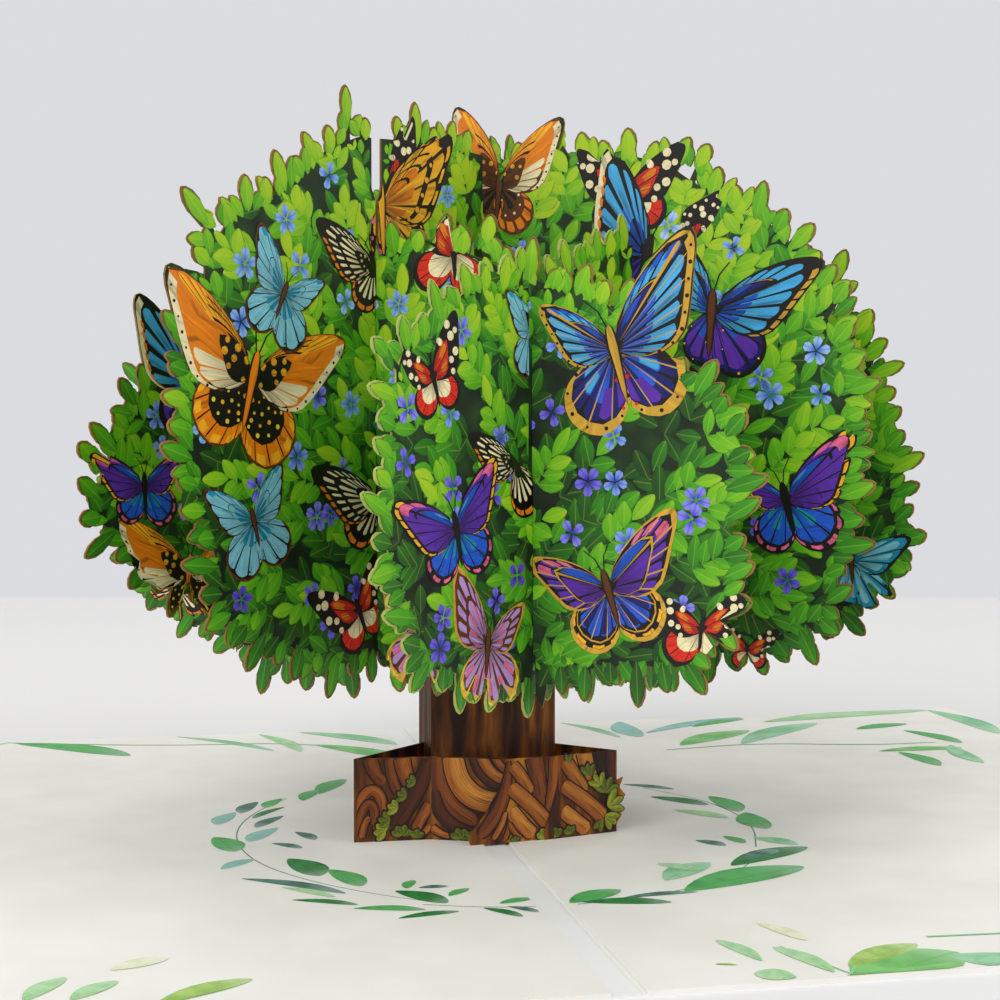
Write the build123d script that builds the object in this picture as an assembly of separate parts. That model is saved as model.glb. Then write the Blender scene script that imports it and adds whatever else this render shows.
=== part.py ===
"""Pop-up card: a round slotted-paper tree crown on a hexagonal trunk with a root skirt, standing on a folded card.

Millimetres. Origin at the bottom centre of the opened card, +Z up, the spine fold along Y, front towards -Y.
"""

import os
from dataclasses import dataclass
from math import asin, cos, degrees, hypot, pi, radians, sin, tau
from random import Random

from build123d import *

# Folded card
CARD_WIDTH = 297.0  # opened flat, across the spine
CARD_LENGTH = 210.0  # along the spine
COVER_THICKNESS = 0.4
LINER_THICKNESS = 0.45
BARE_STRIP = 4.6  # cover left showing between the left liner and the fold
CREASE_WIDTH = 0.8
CREASE_DEPTH = 0.15

# Papers of the tree and their clearances
SHEET_THICKNESS = 0.4
TRUNK_PAPER = 0.3
SKIRT_PAPER = 0.3
SLIDE_FIT = 0.05  # each side of a sheet in its slot
GLUE_FIT = 0.05  # each side of a tab in its slit

# Trunk tube
TRUNK_RADIUS = 13.6  # to the folds, at mid paper
TRUNK_SIDES = 6
TRUNK_TOP = 58.0
TRUNK_SEAT = 44.5  # height where the middle crown sheets sit in the tube's slots
TRUNK_TAB_WIDTH = 9.0
TAB_REACH = 4.8

# Root skirt, as the corners of its folded strip in plan
SKIRT_HEIGHT = 15.3
SKIRT_LEFT_CORNER = (-27.0, -13.5)
SKIRT_LEFT_FOLD = (-13.2, -14.0)
SKIRT_NOSE = (0.0, -19.3)
SKIRT_RIGHT_FOLD = (10.2, -18.0)
SKIRT_RIGHT_CORNER = (21.5, -15.0)
LEFT_FLAP = (0.5, -5.0)  # along the trunk's side wall, from the fold to the flap's end
RIGHT_FLAP = (-5.8, -1.3)
LEFT_ROOT_REACH = 8.6  # how far a root tongue passes its fold
NOSE_ROOT_REACH = 7.6
RIGHT_ROOT_REACH = 3.4
MOSS_REACH = 2.2
LEFT_TAB_SPAN = (0.11, 0.51)  # start and end along the panel left of the nose, as shares
RIGHT_TAB_SPAN = (0.22, 0.84)  # the same right of the nose

# Crown lattice: sheets A rise to the back right, sheets B to the back left
CROSSING_ANGLE = 39.0  # of each sheet from the card's width
NODE_SPACING = 30.7  # along a sheet, from slot to slot
SLOT_MEETING = 68.0  # height where the two slots of a crossing meet
MOUTH_WIDTH = 2.5
MOUTH_DEPTH = 10.0
MOUTH_TAPER = 2.0
LEAD_IN_WIDTH = 1.6
LEAD_IN_DEPTH = 3.0

# Leaves along a sheet's edge, their lengths in turn
LONG_LEAF = (5.6, 7.2)
LEAF_LENGTHS = (LONG_LEAF, (3.4, 4.4), (4.4, 5.6), (3.0, 4.0))
LEAF_WIDTH = (2.6, 3.2)
LEAF_GAP = 1.4  # from the widest leaf to the next
LEAF_ROOT_DEPTH = 0.9  # how far inside the outline a leaf starts
TIP_ROOM = 0.5  # from a slot's mouth to the nearest leaf's middle line
LEAF_LEAN = 4.0  # random, either way, in degrees
LEAF_SWAY = 11.0  # a wave of lean along the edge, in degrees
LEAF_SWAY_STEP = 62.0  # the wave's turn from leaf to leaf, in degrees
LEAF_UPTURN = 22.0  # leaves on the sides turn up by this
SPRIG_STEM = 3.2  # some leaves of the top edge stand on a stem
SPRIG_STEM_WIDTH = 1.0
SPRIG_EVERY = 8
SPRIG_RISE = 0.2  # least upward part of the outline's normal for a sprig
CLUMP_SWELL = 2.0  # slow waves that make the outline lumpy
CLUMP_WAVES = (6, 11)
OUTLINE_STEPS = 720

# One side of a leaf from its root to its shoulder, as shares of its length and width
LEAF_SIDE = ((0.0, 0.34), (0.52, 0.5))

# A root running past its fold, as shares of its reach and of the skirt's height
ROOT_SHAPE = ((-0.05, 0.93), (-0.22, 0.66), (-0.55, 0.38), (-0.86, 0.19), (-1.0, 0.07), (-0.93, 0.0))

# Moss leaves past the skirt's right corner, as shares of the moss reach and of the skirt's height
MOSS_SHAPE = ((0.0, 0.62), (0.75, 0.66), (0.40, 0.54), (1.0, 0.44), (0.35, 0.33), (0.65, 0.20), (0.0, 0.08))

CORNER_CUT = 0.25  # share of each side that rounding a line takes off

COVER_TOP = COVER_THICKNESS
PAGE_TOP = COVER_THICKNESS + LINER_THICKNESS
APOTHEM = TRUNK_RADIUS * cos(pi / TRUNK_SIDES)
FLAP_LINE = APOTHEM + (TRUNK_PAPER + SKIRT_PAPER) / 2
SHEET_TURN = 2 * CROSSING_ANGLE
FOOT_SHIFT = NODE_SPACING * cos(radians(SHEET_TURN))
LEAF_PITCH = LEAF_WIDTH[1] + LEAF_GAP


@dataclass(frozen=True)
class Crown:
    """One flat crown sheet. Pairs give the left value, then the right value, seen from the front."""

    node: str
    family: str
    row: int
    reach: tuple
    widest: float
    top: tuple
    bottom: tuple
    upper_power: tuple
    lower_power: tuple
    seed: int
    wings: tuple = ()

    @property
    def angle(self):
        return CROSSING_ANGLE if self.family == "A" else -CROSSING_ANGLE

    @property
    def plane(self):
        """Local x runs along the sheet from its point nearest the tree's axis, local y is up."""
        other = -CROSSING_ANGLE if self.family == "A" else CROSSING_ANGLE
        along = Vector(cos(radians(self.angle)), sin(radians(self.angle)), 0)
        step = Vector(cos(radians(other)), sin(radians(other)), 0) * (self.row * NODE_SPACING)
        foot = step - along * step.dot(along)
        return Plane(origin=foot, x_dir=along, z_dir=(along.Y, -along.X, 0))

    @property
    def crossings(self):
        """Places along the sheet where it crosses the three sheets of the other family."""
        return [self.row * FOOT_SHIFT + column * NODE_SPACING for column in (-1, 0, 1)]


@dataclass(frozen=True)
class Wing:
    """A butterfly wing that stands proud of the leaves: its root, its length and its direction."""

    along: float
    height: float
    length: float
    heading: float


CROWNS = (
    Crown("crown_a_front", "A", 1, (60.5, 68), 64, (101, 116), (31.5, 33), (3.6, 2.2), (3.2, 3.0), 11),
    Crown("crown_a_middle", "A", 0, (74.5, 70), 84, (130, 127), (34, 33), (2.3, 2.3), (3.6, 3.0), 12,
          (Wing(-60.5, 84.5, 24.5, 137),)),
    Crown("crown_a_back", "A", -1, (68, 60), 64, (105, 112), (43, 34), (2.0, 2.4), (2.5, 3.0), 13,
          (Wing(-47, 84, 20, 130),)),
    Crown("crown_b_front", "B", -1, (66, 60.5), 64, (112, 105), (32, 34.5), (1.9, 2.1), (2.2, 5.0), 14,
          (Wing(39.5, 89, 23.5, 55),)),
    Crown("crown_b_middle", "B", 0, (70, 70.5), 62, (122, 126), (34, 33.5), (2.4, 3.1), (3.0, 4.0), 15,
          (Wing(45.5, 97, 22, 21), Wing(29, 119, 14, 36), Wing(3, 122, 18, 122), Wing(3, 122, 17.5, 41))),
    Crown("crown_b_back", "B", 1, (60, 71), 66, (114, 118), (34, 34), (2.4, 2.6), (3.0, 4.0), 16,
          (Wing(63, 51, 12.5, 22),)),
)

# One wing, its root at the origin and its tip on the x axis, as shares of its length
WING_SHAPE = (
    (0.0, -0.08), (0.16, -0.30), (0.38, -0.38), (0.58, -0.29), (0.80, -0.16), (0.97, -0.07),
    (1.02, 0.03), (0.90, 0.10), (0.66, 0.15), (0.40, 0.15), (0.14, 0.09),
)


def side(value_pair, along):
    """Pick the left or the right value of a pair."""
    return value_pair[0] if along < 0 else value_pair[1]


def eased(value_pair, along):
    """Blend the left value into the right one between a sheet's outer slots."""
    share = min(max((along + NODE_SPACING) / (2 * NODE_SPACING), 0.0), 1.0)
    return value_pair[0] + (value_pair[1] - value_pair[0]) * share * share * (3 - 2 * share)


def crown_curve(crown):
    """The sheet's outline without its leaves, anticlockwise from the right end."""
    random = Random(crown.seed)
    phases = [random.uniform(0, tau) for _ in CLUMP_WAVES]
    points = []
    for step in range(OUTLINE_STEPS):
        turn = tau * step / OUTLINE_STEPS
        across, up = cos(turn), sin(turn)
        power = side(crown.upper_power if up >= 0 else crown.lower_power, across)
        along = side(crown.reach, across) * (abs(across) ** (2 / power)) * (1 if across >= 0 else -1)
        limit = eased(crown.top if up >= 0 else crown.bottom, along)
        height = crown.widest + (limit - crown.widest) * abs(up) ** (2 / power)
        swell = CLUMP_SWELL * sum(sin(w * turn + p) for w, p in zip(CLUMP_WAVES, phases)) / len(CLUMP_WAVES)
        size = hypot(along, height - crown.widest)
        points.append((along * (1 + swell / size), crown.widest + (height - crown.widest) * (1 + swell / size)))
    return points


class Walk:
    """Arc-length walk along a closed outline."""

    def __init__(self, points):
        self.points = points
        self.marks = [0.0]
        for here, there in zip(points, points[1:] + points[:1]):
            self.marks.append(self.marks[-1] + hypot(there[0] - here[0], there[1] - here[1]))
        self.length = self.marks[-1]
        self.last = 0

    def at(self, distance):
        """Point and outward unit normal at a distance along the outline."""
        distance %= self.length
        if distance < self.marks[self.last]:
            self.last = 0
        while self.marks[self.last + 1] < distance:
            self.last += 1
        here = self.points[self.last]
        there = self.points[(self.last + 1) % len(self.points)]
        span = self.marks[self.last + 1] - self.marks[self.last]
        share = (distance - self.marks[self.last]) / span
        run, rise = (there[0] - here[0]) / span, (there[1] - here[1]) / span
        return (here[0] + run * span * share, here[1] + rise * span * share), (rise, -run)


def leaf_points(root, heading, length, width, stem):
    """One leaf of the edge, from its right side round the tip to its left side."""
    ahead = (cos(heading), sin(heading))
    across = (sin(heading), -cos(heading))
    shape = LEAF_SIDE + ((1.0, 0.0),) + tuple((share, -offset) for share, offset in LEAF_SIDE[::-1])
    points = [(stem + share * length, offset * width) for share, offset in shape]
    if stem:
        half = SPRIG_STEM_WIDTH / 2
        points = [(0.0, half), (stem, half)] + points + [(stem, -half), (0.0, -half)]
    return [
        (root[0] + ahead[0] * run + across[0] * aside, root[1] + ahead[1] * run + across[1] * aside)
        for run, aside in points
    ]


def meets_mouth(crown, root, normal):
    """Whether a leaf at this place of the top edge would lose its tip to a slot's mouth."""
    reach = MOUTH_WIDTH / 2 + TIP_ROOM
    upper = crown.family == "A" and normal[1] > 0
    return upper and any(abs(root[0] - along) < reach for along in crown.crossings)


def leafy_outline(crown):
    """The die-cut outline of a crown sheet: its curve with a leaf at every pitch."""
    random = Random(crown.seed * 7)
    walk = Walk(crown_curve(crown))
    count = round(walk.length / LEAF_PITCH)
    pitch = walk.length / count
    points = []
    for index in range(count):
        place = (index + 0.5) * pitch
        root, normal = walk.at(place)
        sway = LEAF_SWAY * sin(radians(index * LEAF_SWAY_STEP))
        lean = radians(sway + random.uniform(-LEAF_LEAN, LEAF_LEAN))
        length = random.uniform(*LEAF_LENGTHS[index % len(LEAF_LENGTHS)])
        width = random.uniform(*LEAF_WIDTH)
        outward = asin(max(-1.0, min(1.0, normal[1])))
        heading = outward if normal[0] >= 0 else pi - outward
        upturn = radians(LEAF_UPTURN) * abs(normal[0]) * (1 if normal[0] >= 0 else -1)
        on_top = normal[1] > SPRIG_RISE and index % SPRIG_EVERY == crown.seed % SPRIG_EVERY
        stem = SPRIG_STEM if on_top else 0.0
        inner = (root[0] - normal[0] * LEAF_ROOT_DEPTH, root[1] - normal[1] * LEAF_ROOT_DEPTH)
        if not meets_mouth(crown, root, normal):
            points += leaf_points(inner, heading + upturn + lean, length, width, stem)
    return points


def rounded(points):
    """An open line with its inner corners cut once."""
    cut = [points[0]]
    for start, end in zip(points, points[1:]):
        cut += [between(start, end, CORNER_CUT), between(start, end, 1 - CORNER_CUT)]
    return cut + [points[-1]]


def wing_face(wing, mirrored):
    """The flat outline of one proud butterfly wing."""
    turn = radians(wing.heading)
    flip = -1 if mirrored else 1
    points = []
    for run, aside in rounded(WING_SHAPE):
        ahead, across = run * wing.length, aside * wing.length * flip
        points.append((
            wing.along + ahead * cos(turn) - across * sin(turn),
            wing.height + ahead * sin(turn) + across * cos(turn),
        ))
    return make_face(Polyline(*points, close=True))


def slot_width(crossing_paper, own_paper, turn):
    """Width of a straight-cut slot that lets a sheet pass at an angle."""
    return (crossing_paper + own_paper * abs(cos(radians(turn)))) / sin(radians(turn)) + 2 * SLIDE_FIT


def top_slot(along, top):
    """Slot from the top edge down to the meeting height, with a wide mouth."""
    half = slot_width(SHEET_THICKNESS, SHEET_THICKNESS, SHEET_TURN) / 2
    mouth = MOUTH_WIDTH / 2
    shoulder = top - MOUTH_DEPTH
    above = top + max(LONG_LEAF) + SPRIG_STEM + MOUTH_DEPTH
    outline = [
        (along - half, SLOT_MEETING), (along + half, SLOT_MEETING),
        (along + half, shoulder - MOUTH_TAPER), (along + mouth, shoulder), (along + mouth, above),
        (along - mouth, above), (along - mouth, shoulder), (along - half, shoulder - MOUTH_TAPER),
    ]
    return make_face(Polyline(*outline, close=True))


def bottom_slot(along, bottom):
    """Slot from the bottom edge up to the meeting height, with a short lead-in."""
    half = slot_width(SHEET_THICKNESS, SHEET_THICKNESS, SHEET_TURN) / 2
    mouth = LEAD_IN_WIDTH / 2
    below = bottom - max(LONG_LEAF) - SPRIG_STEM
    outline = [
        (along - half, SLOT_MEETING), (along - half, bottom + LEAD_IN_DEPTH), (along - mouth, bottom),
        (along - mouth, below), (along + mouth, below), (along + mouth, bottom),
        (along + half, bottom + LEAD_IN_DEPTH), (along + half, SLOT_MEETING),
    ]
    return make_face(Polyline(*outline, close=True))


def outline_height(crown, along, upper):
    """Height of the leafless outline above or below a place along the sheet."""
    curve = crown_curve(crown)
    half = [p for p in curve if (p[1] >= crown.widest) == upper]
    return min(half, key=lambda point: abs(point[0] - along))[1]


def hexagon_tube(radius, paper, low, high):
    """Upright six-sided tube with two folds over the spine."""
    corner = paper / 2 / cos(pi / TRUNK_SIDES)
    turned = 180 / TRUNK_SIDES
    outer = RegularPolygon(radius + corner, TRUNK_SIDES, rotation=turned)
    inner = RegularPolygon(radius - corner, TRUNK_SIDES, rotation=turned)
    return extrude(Plane.XY.offset(low) * (outer - inner), high - low)


def crown_sheet(crown):
    """A crown sheet with its leaves, proud wings and slots."""
    face = make_face(Polyline(*leafy_outline(crown), close=True))
    for wing in crown.wings:
        face = face + wing_face(wing, wing.heading > 90)
    for along in crown.crossings:
        if crown.family == "A":
            face = face - top_slot(along, outline_height(crown, along, True))
        else:
            face = face - bottom_slot(along, outline_height(crown, along, False))
    sheet = extrude(crown.plane * face, SHEET_THICKNESS / 2, both=True)
    if crown.row == 0:
        sheet = sheet - hexagon_tube(TRUNK_RADIUS, TRUNK_PAPER + 2 * SLIDE_FIT, 0, TRUNK_SEAT)
    return sheet.solids().sort_by(SortBy.VOLUME)[-1]  # leaf tips that a slot cuts loose fall away


def sheet_slab(crown, low, high):
    """The space a middle crown sheet takes through the trunk, with its clearance."""
    width = SHEET_THICKNESS + 2 * SLIDE_FIT
    slab = Box(4 * TRUNK_RADIUS, high - low, width, align=(Align.CENTER, Align.MIN, Align.CENTER))
    return crown.plane * Pos(0, low, 0) * slab


def wall_frame(start, end):
    """Unit direction and left-hand normal of a wall in plan."""
    length = hypot(end[0] - start[0], end[1] - start[1])
    ahead = ((end[0] - start[0]) / length, (end[1] - start[1]) / length)
    return ahead, (-ahead[1], ahead[0])


def plan_block(start, end, back, front, low, high):
    """Upright block over a line in plan, from back to front along its left-hand normal."""
    _, normal = wall_frame(start, end)
    corners = [
        (point[0] + normal[0] * offset, point[1] + normal[1] * offset)
        for point, offset in ((start, back), (end, back), (end, front), (start, front))
    ]
    return extrude(Plane.XY.offset(low) * make_face(Polyline(*corners, close=True)), high - low)


def glue_tab(start, end, paper, overlap):
    """Tab that passes down through the page and turns under it to the wall's left-hand side."""
    leg = plan_block(start, end, -paper / 2, paper / 2, COVER_TOP, PAGE_TOP + overlap)
    foot = plan_block(start, end, -paper / 2, TAB_REACH, COVER_TOP, COVER_TOP + paper)
    return leg + foot


def tab_room(start, end, paper):
    """Slit and pocket in the page for one glue tab."""
    ahead, _ = wall_frame(start, end)
    first = (start[0] - ahead[0] * GLUE_FIT, start[1] - ahead[1] * GLUE_FIT)
    last = (end[0] + ahead[0] * GLUE_FIT, end[1] + ahead[1] * GLUE_FIT)
    slit = plan_block(first, last, -paper / 2 - GLUE_FIT, paper / 2 + GLUE_FIT, COVER_TOP, PAGE_TOP)
    pocket = plan_block(first, last, -paper / 2 - GLUE_FIT, TAB_REACH + GLUE_FIT, COVER_TOP, COVER_TOP + paper)
    return slit + pocket


def turned_half(point):
    """The same place half a turn round the tree's axis."""
    return (-point[0], -point[1])


def between(start, end, share):
    """Point at a share of the way from start to end."""
    return (start[0] + (end[0] - start[0]) * share, start[1] + (end[1] - start[1]) * share)


# Tab lines, each with the trunk or the inside of the skirt on its left-hand side
RIGHT_TRUNK_TAB = ((APOTHEM, -TRUNK_TAB_WIDTH / 2), (APOTHEM, TRUNK_TAB_WIDTH / 2))
LEFT_SKIRT_TAB = tuple(between(SKIRT_LEFT_FOLD, SKIRT_NOSE, share) for share in LEFT_TAB_SPAN)
RIGHT_SKIRT_TAB = tuple(between(SKIRT_NOSE, SKIRT_RIGHT_FOLD, share) for share in RIGHT_TAB_SPAN)
TRUNK_TABS = (RIGHT_TRUNK_TAB, tuple(turned_half(p) for p in RIGHT_TRUNK_TAB))
SKIRT_TABS = (LEFT_SKIRT_TAB, RIGHT_SKIRT_TAB)


def cover_card():
    """The folded card, opened flat, with its score line along the spine."""
    half = CARD_WIDTH / 2
    crease = CREASE_WIDTH / 2
    section = [
        (-half, 0), (half, 0), (half, COVER_TOP), (crease, COVER_TOP),
        (0, COVER_TOP - CREASE_DEPTH), (-crease, COVER_TOP), (-half, COVER_TOP),
    ]
    return extrude(Plane.XZ * make_face(Polyline(*section, close=True)), CARD_LENGTH / 2, both=True)


def liner(low_x, high_x):
    """One printed page glued on the cover, cut for the glue tabs."""
    page = Pos((low_x + high_x) / 2, 0, COVER_TOP) * Box(
        high_x - low_x, CARD_LENGTH, LINER_THICKNESS, align=(Align.CENTER, Align.CENTER, Align.MIN)
    )
    for start, end in TRUNK_TABS:
        page = page - tab_room(start, end, TRUNK_PAPER)
    for start, end in SKIRT_TABS:
        page = page - tab_room(start, end, SKIRT_PAPER)
    return page


def trunk_tube():
    """The hexagonal trunk with slots for the two middle crown sheets and two glue tabs."""
    tube = hexagon_tube(TRUNK_RADIUS, TRUNK_PAPER, PAGE_TOP, TRUNK_TOP)
    for crown in CROWNS:
        if crown.row == 0:
            tube = tube - sheet_slab(crown, TRUNK_SEAT, TRUNK_TOP + SHEET_THICKNESS)
    for start, end in TRUNK_TABS:
        tube = tube + glue_tab(start, end, TRUNK_PAPER, TRUNK_PAPER)
    return tube


def folded_strip(path, paper, low, high):
    """An upright strip of paper folded along the corners of an open path."""
    sides = ([], [])
    for index, point in enumerate(path):
        before = path[max(index - 1, 0)]
        after = path[min(index + 1, len(path) - 1)]
        first = wall_frame(before, point)[1] if index > 0 else wall_frame(point, after)[1]
        second = wall_frame(point, after)[1] if index < len(path) - 1 else first
        bisector = (first[0] + second[0], first[1] + second[1])
        scale = paper / (1 + first[0] * second[0] + first[1] * second[1]) / 2
        for edge, sign in zip(sides, (1, -1)):
            edge.append((point[0] + sign * bisector[0] * scale, point[1] + sign * bisector[1] * scale))
    outline = sides[0] + sides[1][::-1]
    return extrude(Plane.XY.offset(low) * make_face(Polyline(*outline, close=True)), high - low)


def standing_shape(start, end, outline):
    """A flat shape in the upright plane of a wall: run along the wall from start, and height."""
    ahead, _ = wall_frame(start, end)
    plane = Plane(origin=(start[0], start[1], PAGE_TOP), x_dir=(*ahead, 0), z_dir=(ahead[1], -ahead[0], 0))
    return extrude(plane * make_face(Polyline(*outline, close=True)), SKIRT_PAPER / 2, both=True)


def root_tongue(reach):
    """Outline of a root that runs on past its fold, down to a rounded tip on the page."""
    top = SKIRT_HEIGHT - SKIRT_PAPER
    return [(SKIRT_PAPER, 0), (SKIRT_PAPER, top)] + [(share * reach, height * top) for share, height in ROOT_SHAPE]


def moss_edge(length):
    """Outline of the moss leaves that pass the skirt's outer fold."""
    edge = [(length + share * MOSS_REACH, height * SKIRT_HEIGHT) for share, height in MOSS_SHAPE]
    inner = length - SKIRT_PAPER
    return [(inner, edge[0][1])] + edge + [(inner, edge[-1][1])]


def root_skirt():
    """The root skirt: one strip folded round the trunk's front, with its flaps and glue tabs."""
    path = [
        (-FLAP_LINE, LEFT_FLAP[1]), (-FLAP_LINE, LEFT_FLAP[0]), SKIRT_LEFT_CORNER, SKIRT_LEFT_FOLD,
        SKIRT_NOSE, SKIRT_RIGHT_FOLD, SKIRT_RIGHT_CORNER, (FLAP_LINE, RIGHT_FLAP[0]), (FLAP_LINE, RIGHT_FLAP[1]),
    ]
    skirt = folded_strip(path, SKIRT_PAPER, PAGE_TOP, PAGE_TOP + SKIRT_HEIGHT)
    skirt = skirt + standing_shape(SKIRT_LEFT_FOLD, SKIRT_NOSE, root_tongue(LEFT_ROOT_REACH))
    skirt = skirt + standing_shape(SKIRT_NOSE, SKIRT_RIGHT_FOLD, root_tongue(NOSE_ROOT_REACH))
    skirt = skirt + standing_shape(SKIRT_RIGHT_FOLD, SKIRT_RIGHT_CORNER, root_tongue(RIGHT_ROOT_REACH))
    last = hypot(SKIRT_RIGHT_CORNER[0] - SKIRT_RIGHT_FOLD[0], SKIRT_RIGHT_CORNER[1] - SKIRT_RIGHT_FOLD[1])
    skirt = skirt + standing_shape(SKIRT_RIGHT_FOLD, SKIRT_RIGHT_CORNER, moss_edge(last))
    for start, end in SKIRT_TABS:
        skirt = skirt + glue_tab(start, end, SKIRT_PAPER, SKIRT_PAPER)
    return skirt


def main():
    """Write every piece as its own STEP file."""
    pieces = {
        "cover_card": cover_card(),
        "liner_left": liner(-CARD_WIDTH / 2, -BARE_STRIP),
        "liner_right": liner(CREASE_WIDTH / 2, CARD_WIDTH / 2),
        "trunk_tube": trunk_tube(),
        "root_skirt": root_skirt(),
    }
    for crown in CROWNS:
        pieces[crown.node] = crown_sheet(crown)
    os.makedirs("parts", exist_ok=True)
    for name, piece in pieces.items():
        export_step(piece, f"parts/{name}.step")


main()
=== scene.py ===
"""The looks of a pop-up card: a slotted paper tree with printed leaves, flowers and butterflies.

Metres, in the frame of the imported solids: the spine fold lies along Y, the front is towards -Y, +Z is up.
Flat prints are thin shapes a few hundredths of a millimetre over the paper that carries them.
"""

from __future__ import annotations

import logging
from dataclasses import dataclass, field
from enum import Enum
from math import atan2, ceil, cos, hypot, pi, radians, sin, sqrt, tau
from random import Random
from typing import Iterable, Sequence

import bmesh
import bpy
import numpy as np
from bpy.types import ID, Material, Node, NodeSocket, NodeTree, Object
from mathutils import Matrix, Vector


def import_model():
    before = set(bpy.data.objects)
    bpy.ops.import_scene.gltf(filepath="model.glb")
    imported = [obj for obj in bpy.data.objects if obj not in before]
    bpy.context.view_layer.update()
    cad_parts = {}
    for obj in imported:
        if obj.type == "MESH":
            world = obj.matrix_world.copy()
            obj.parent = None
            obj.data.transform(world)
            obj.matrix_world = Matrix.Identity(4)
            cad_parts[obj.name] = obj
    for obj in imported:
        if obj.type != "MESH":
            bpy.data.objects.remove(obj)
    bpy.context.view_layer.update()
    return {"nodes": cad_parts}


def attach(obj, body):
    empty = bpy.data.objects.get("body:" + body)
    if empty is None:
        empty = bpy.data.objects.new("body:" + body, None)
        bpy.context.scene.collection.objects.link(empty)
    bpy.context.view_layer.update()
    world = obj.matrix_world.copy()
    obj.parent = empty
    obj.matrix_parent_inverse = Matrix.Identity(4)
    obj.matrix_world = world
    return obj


LOG = logging.getLogger("pop_up_card")
MM = 0.001
ATLAS = "OFBake"  # the UV map whose cells the printed inks read
GRAIN_SCALE = 2600.0  # paper fibres, a few tenths of a millimetre long
SHEEN = 0.35  # specular level of printed and bare paper
UP = Vector((0.0, 0.0, 1.0))
Point = tuple[float, float]
Cell = tuple[int, int]  # column and row of an atlas cell
Face = tuple[int, ...]


class Side(Enum):
    """The two faces of an upright sheet."""

    FRONT = 1
    BACK = -1


class Family(Enum):
    """The two directions of the crown's lattice."""

    A = 1
    B = -1


def linear(code: str) -> tuple[float, float, float, float]:
    """Turn a six-digit sRGB colour code into linear light.

    Args:
        code: Red, green and blue as hexadecimal digits.

    Returns:
        The linear colour with an alpha of one.
    """
    parts = [int(code[start:start + 2], 16) / 255 for start in (0, 2, 4)]
    light = [value / 12.92 if value <= 0.04045 else ((value + 0.055) / 1.055) ** 2.4 for value in parts]
    return light[0], light[1], light[2], 1.0


def deselect_all() -> None:
    """Leave nothing selected."""
    for item in bpy.context.selected_objects:
        item.select_set(False)


def make_active(item: Object) -> None:
    """Select one object alone and make it active."""
    deselect_all()
    item.select_set(True)
    bpy.context.view_layer.objects.active = item


def placed(name: str, data: ID) -> Object:
    """Put a new object that shows the data into the scene."""
    item = bpy.data.objects.new(name, data)
    bpy.context.scene.collection.objects.link(item)
    return item


def thicken(item: Object, thickness: float) -> None:
    """Give a flat paper piece its thickness, half to each side."""
    make_active(item)
    paper = item.modifiers.new("paper", "SOLIDIFY")
    paper.thickness = thickness
    paper.offset = 0.0
    bpy.ops.object.modifier_apply(modifier=paper.name)


def signed_area(outline: np.ndarray) -> float:
    """Twice the area inside an outline, above zero when its points run anticlockwise."""
    ahead = np.roll(outline, -1, axis=0)
    return np.sum(outline[:, 0] * ahead[:, 1] - ahead[:, 0] * outline[:, 1])


def cut_corners(track: np.ndarray, rounds: int) -> np.ndarray:
    """Round an open line, its two ends kept.

    Args:
        track: The line's points, with as many columns as each point has values.
        rounds: How many times every corner is cut.

    Returns:
        The rounded line.
    """
    for _ in range(rounds):
        ahead, behind = track[:-1], track[1:]
        cut = np.empty((2 * len(ahead), track.shape[1]))
        cut[0::2] = ahead * 0.75 + behind * 0.25
        cut[1::2] = ahead * 0.25 + behind * 0.75
        track = np.concatenate([track[:1], cut, track[-1:]])
    return track


def strip_faces(count: int) -> list[Face]:
    """The faces of a strip whose one side's points are numbered first, then the other's."""
    return [(i, i + 1, count + i + 1, count + i) for i in range(count - 1)]


def within(value: float, limits: Sequence[float]) -> bool:
    """Whether a value lies between two limits."""
    return limits[0] < value < limits[1]


def onward(start: Point, heading: float, distance: float) -> Point:
    """The place at a distance from another in a direction."""
    return start[0] + distance * cos(heading), start[1] + distance * sin(heading)


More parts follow.
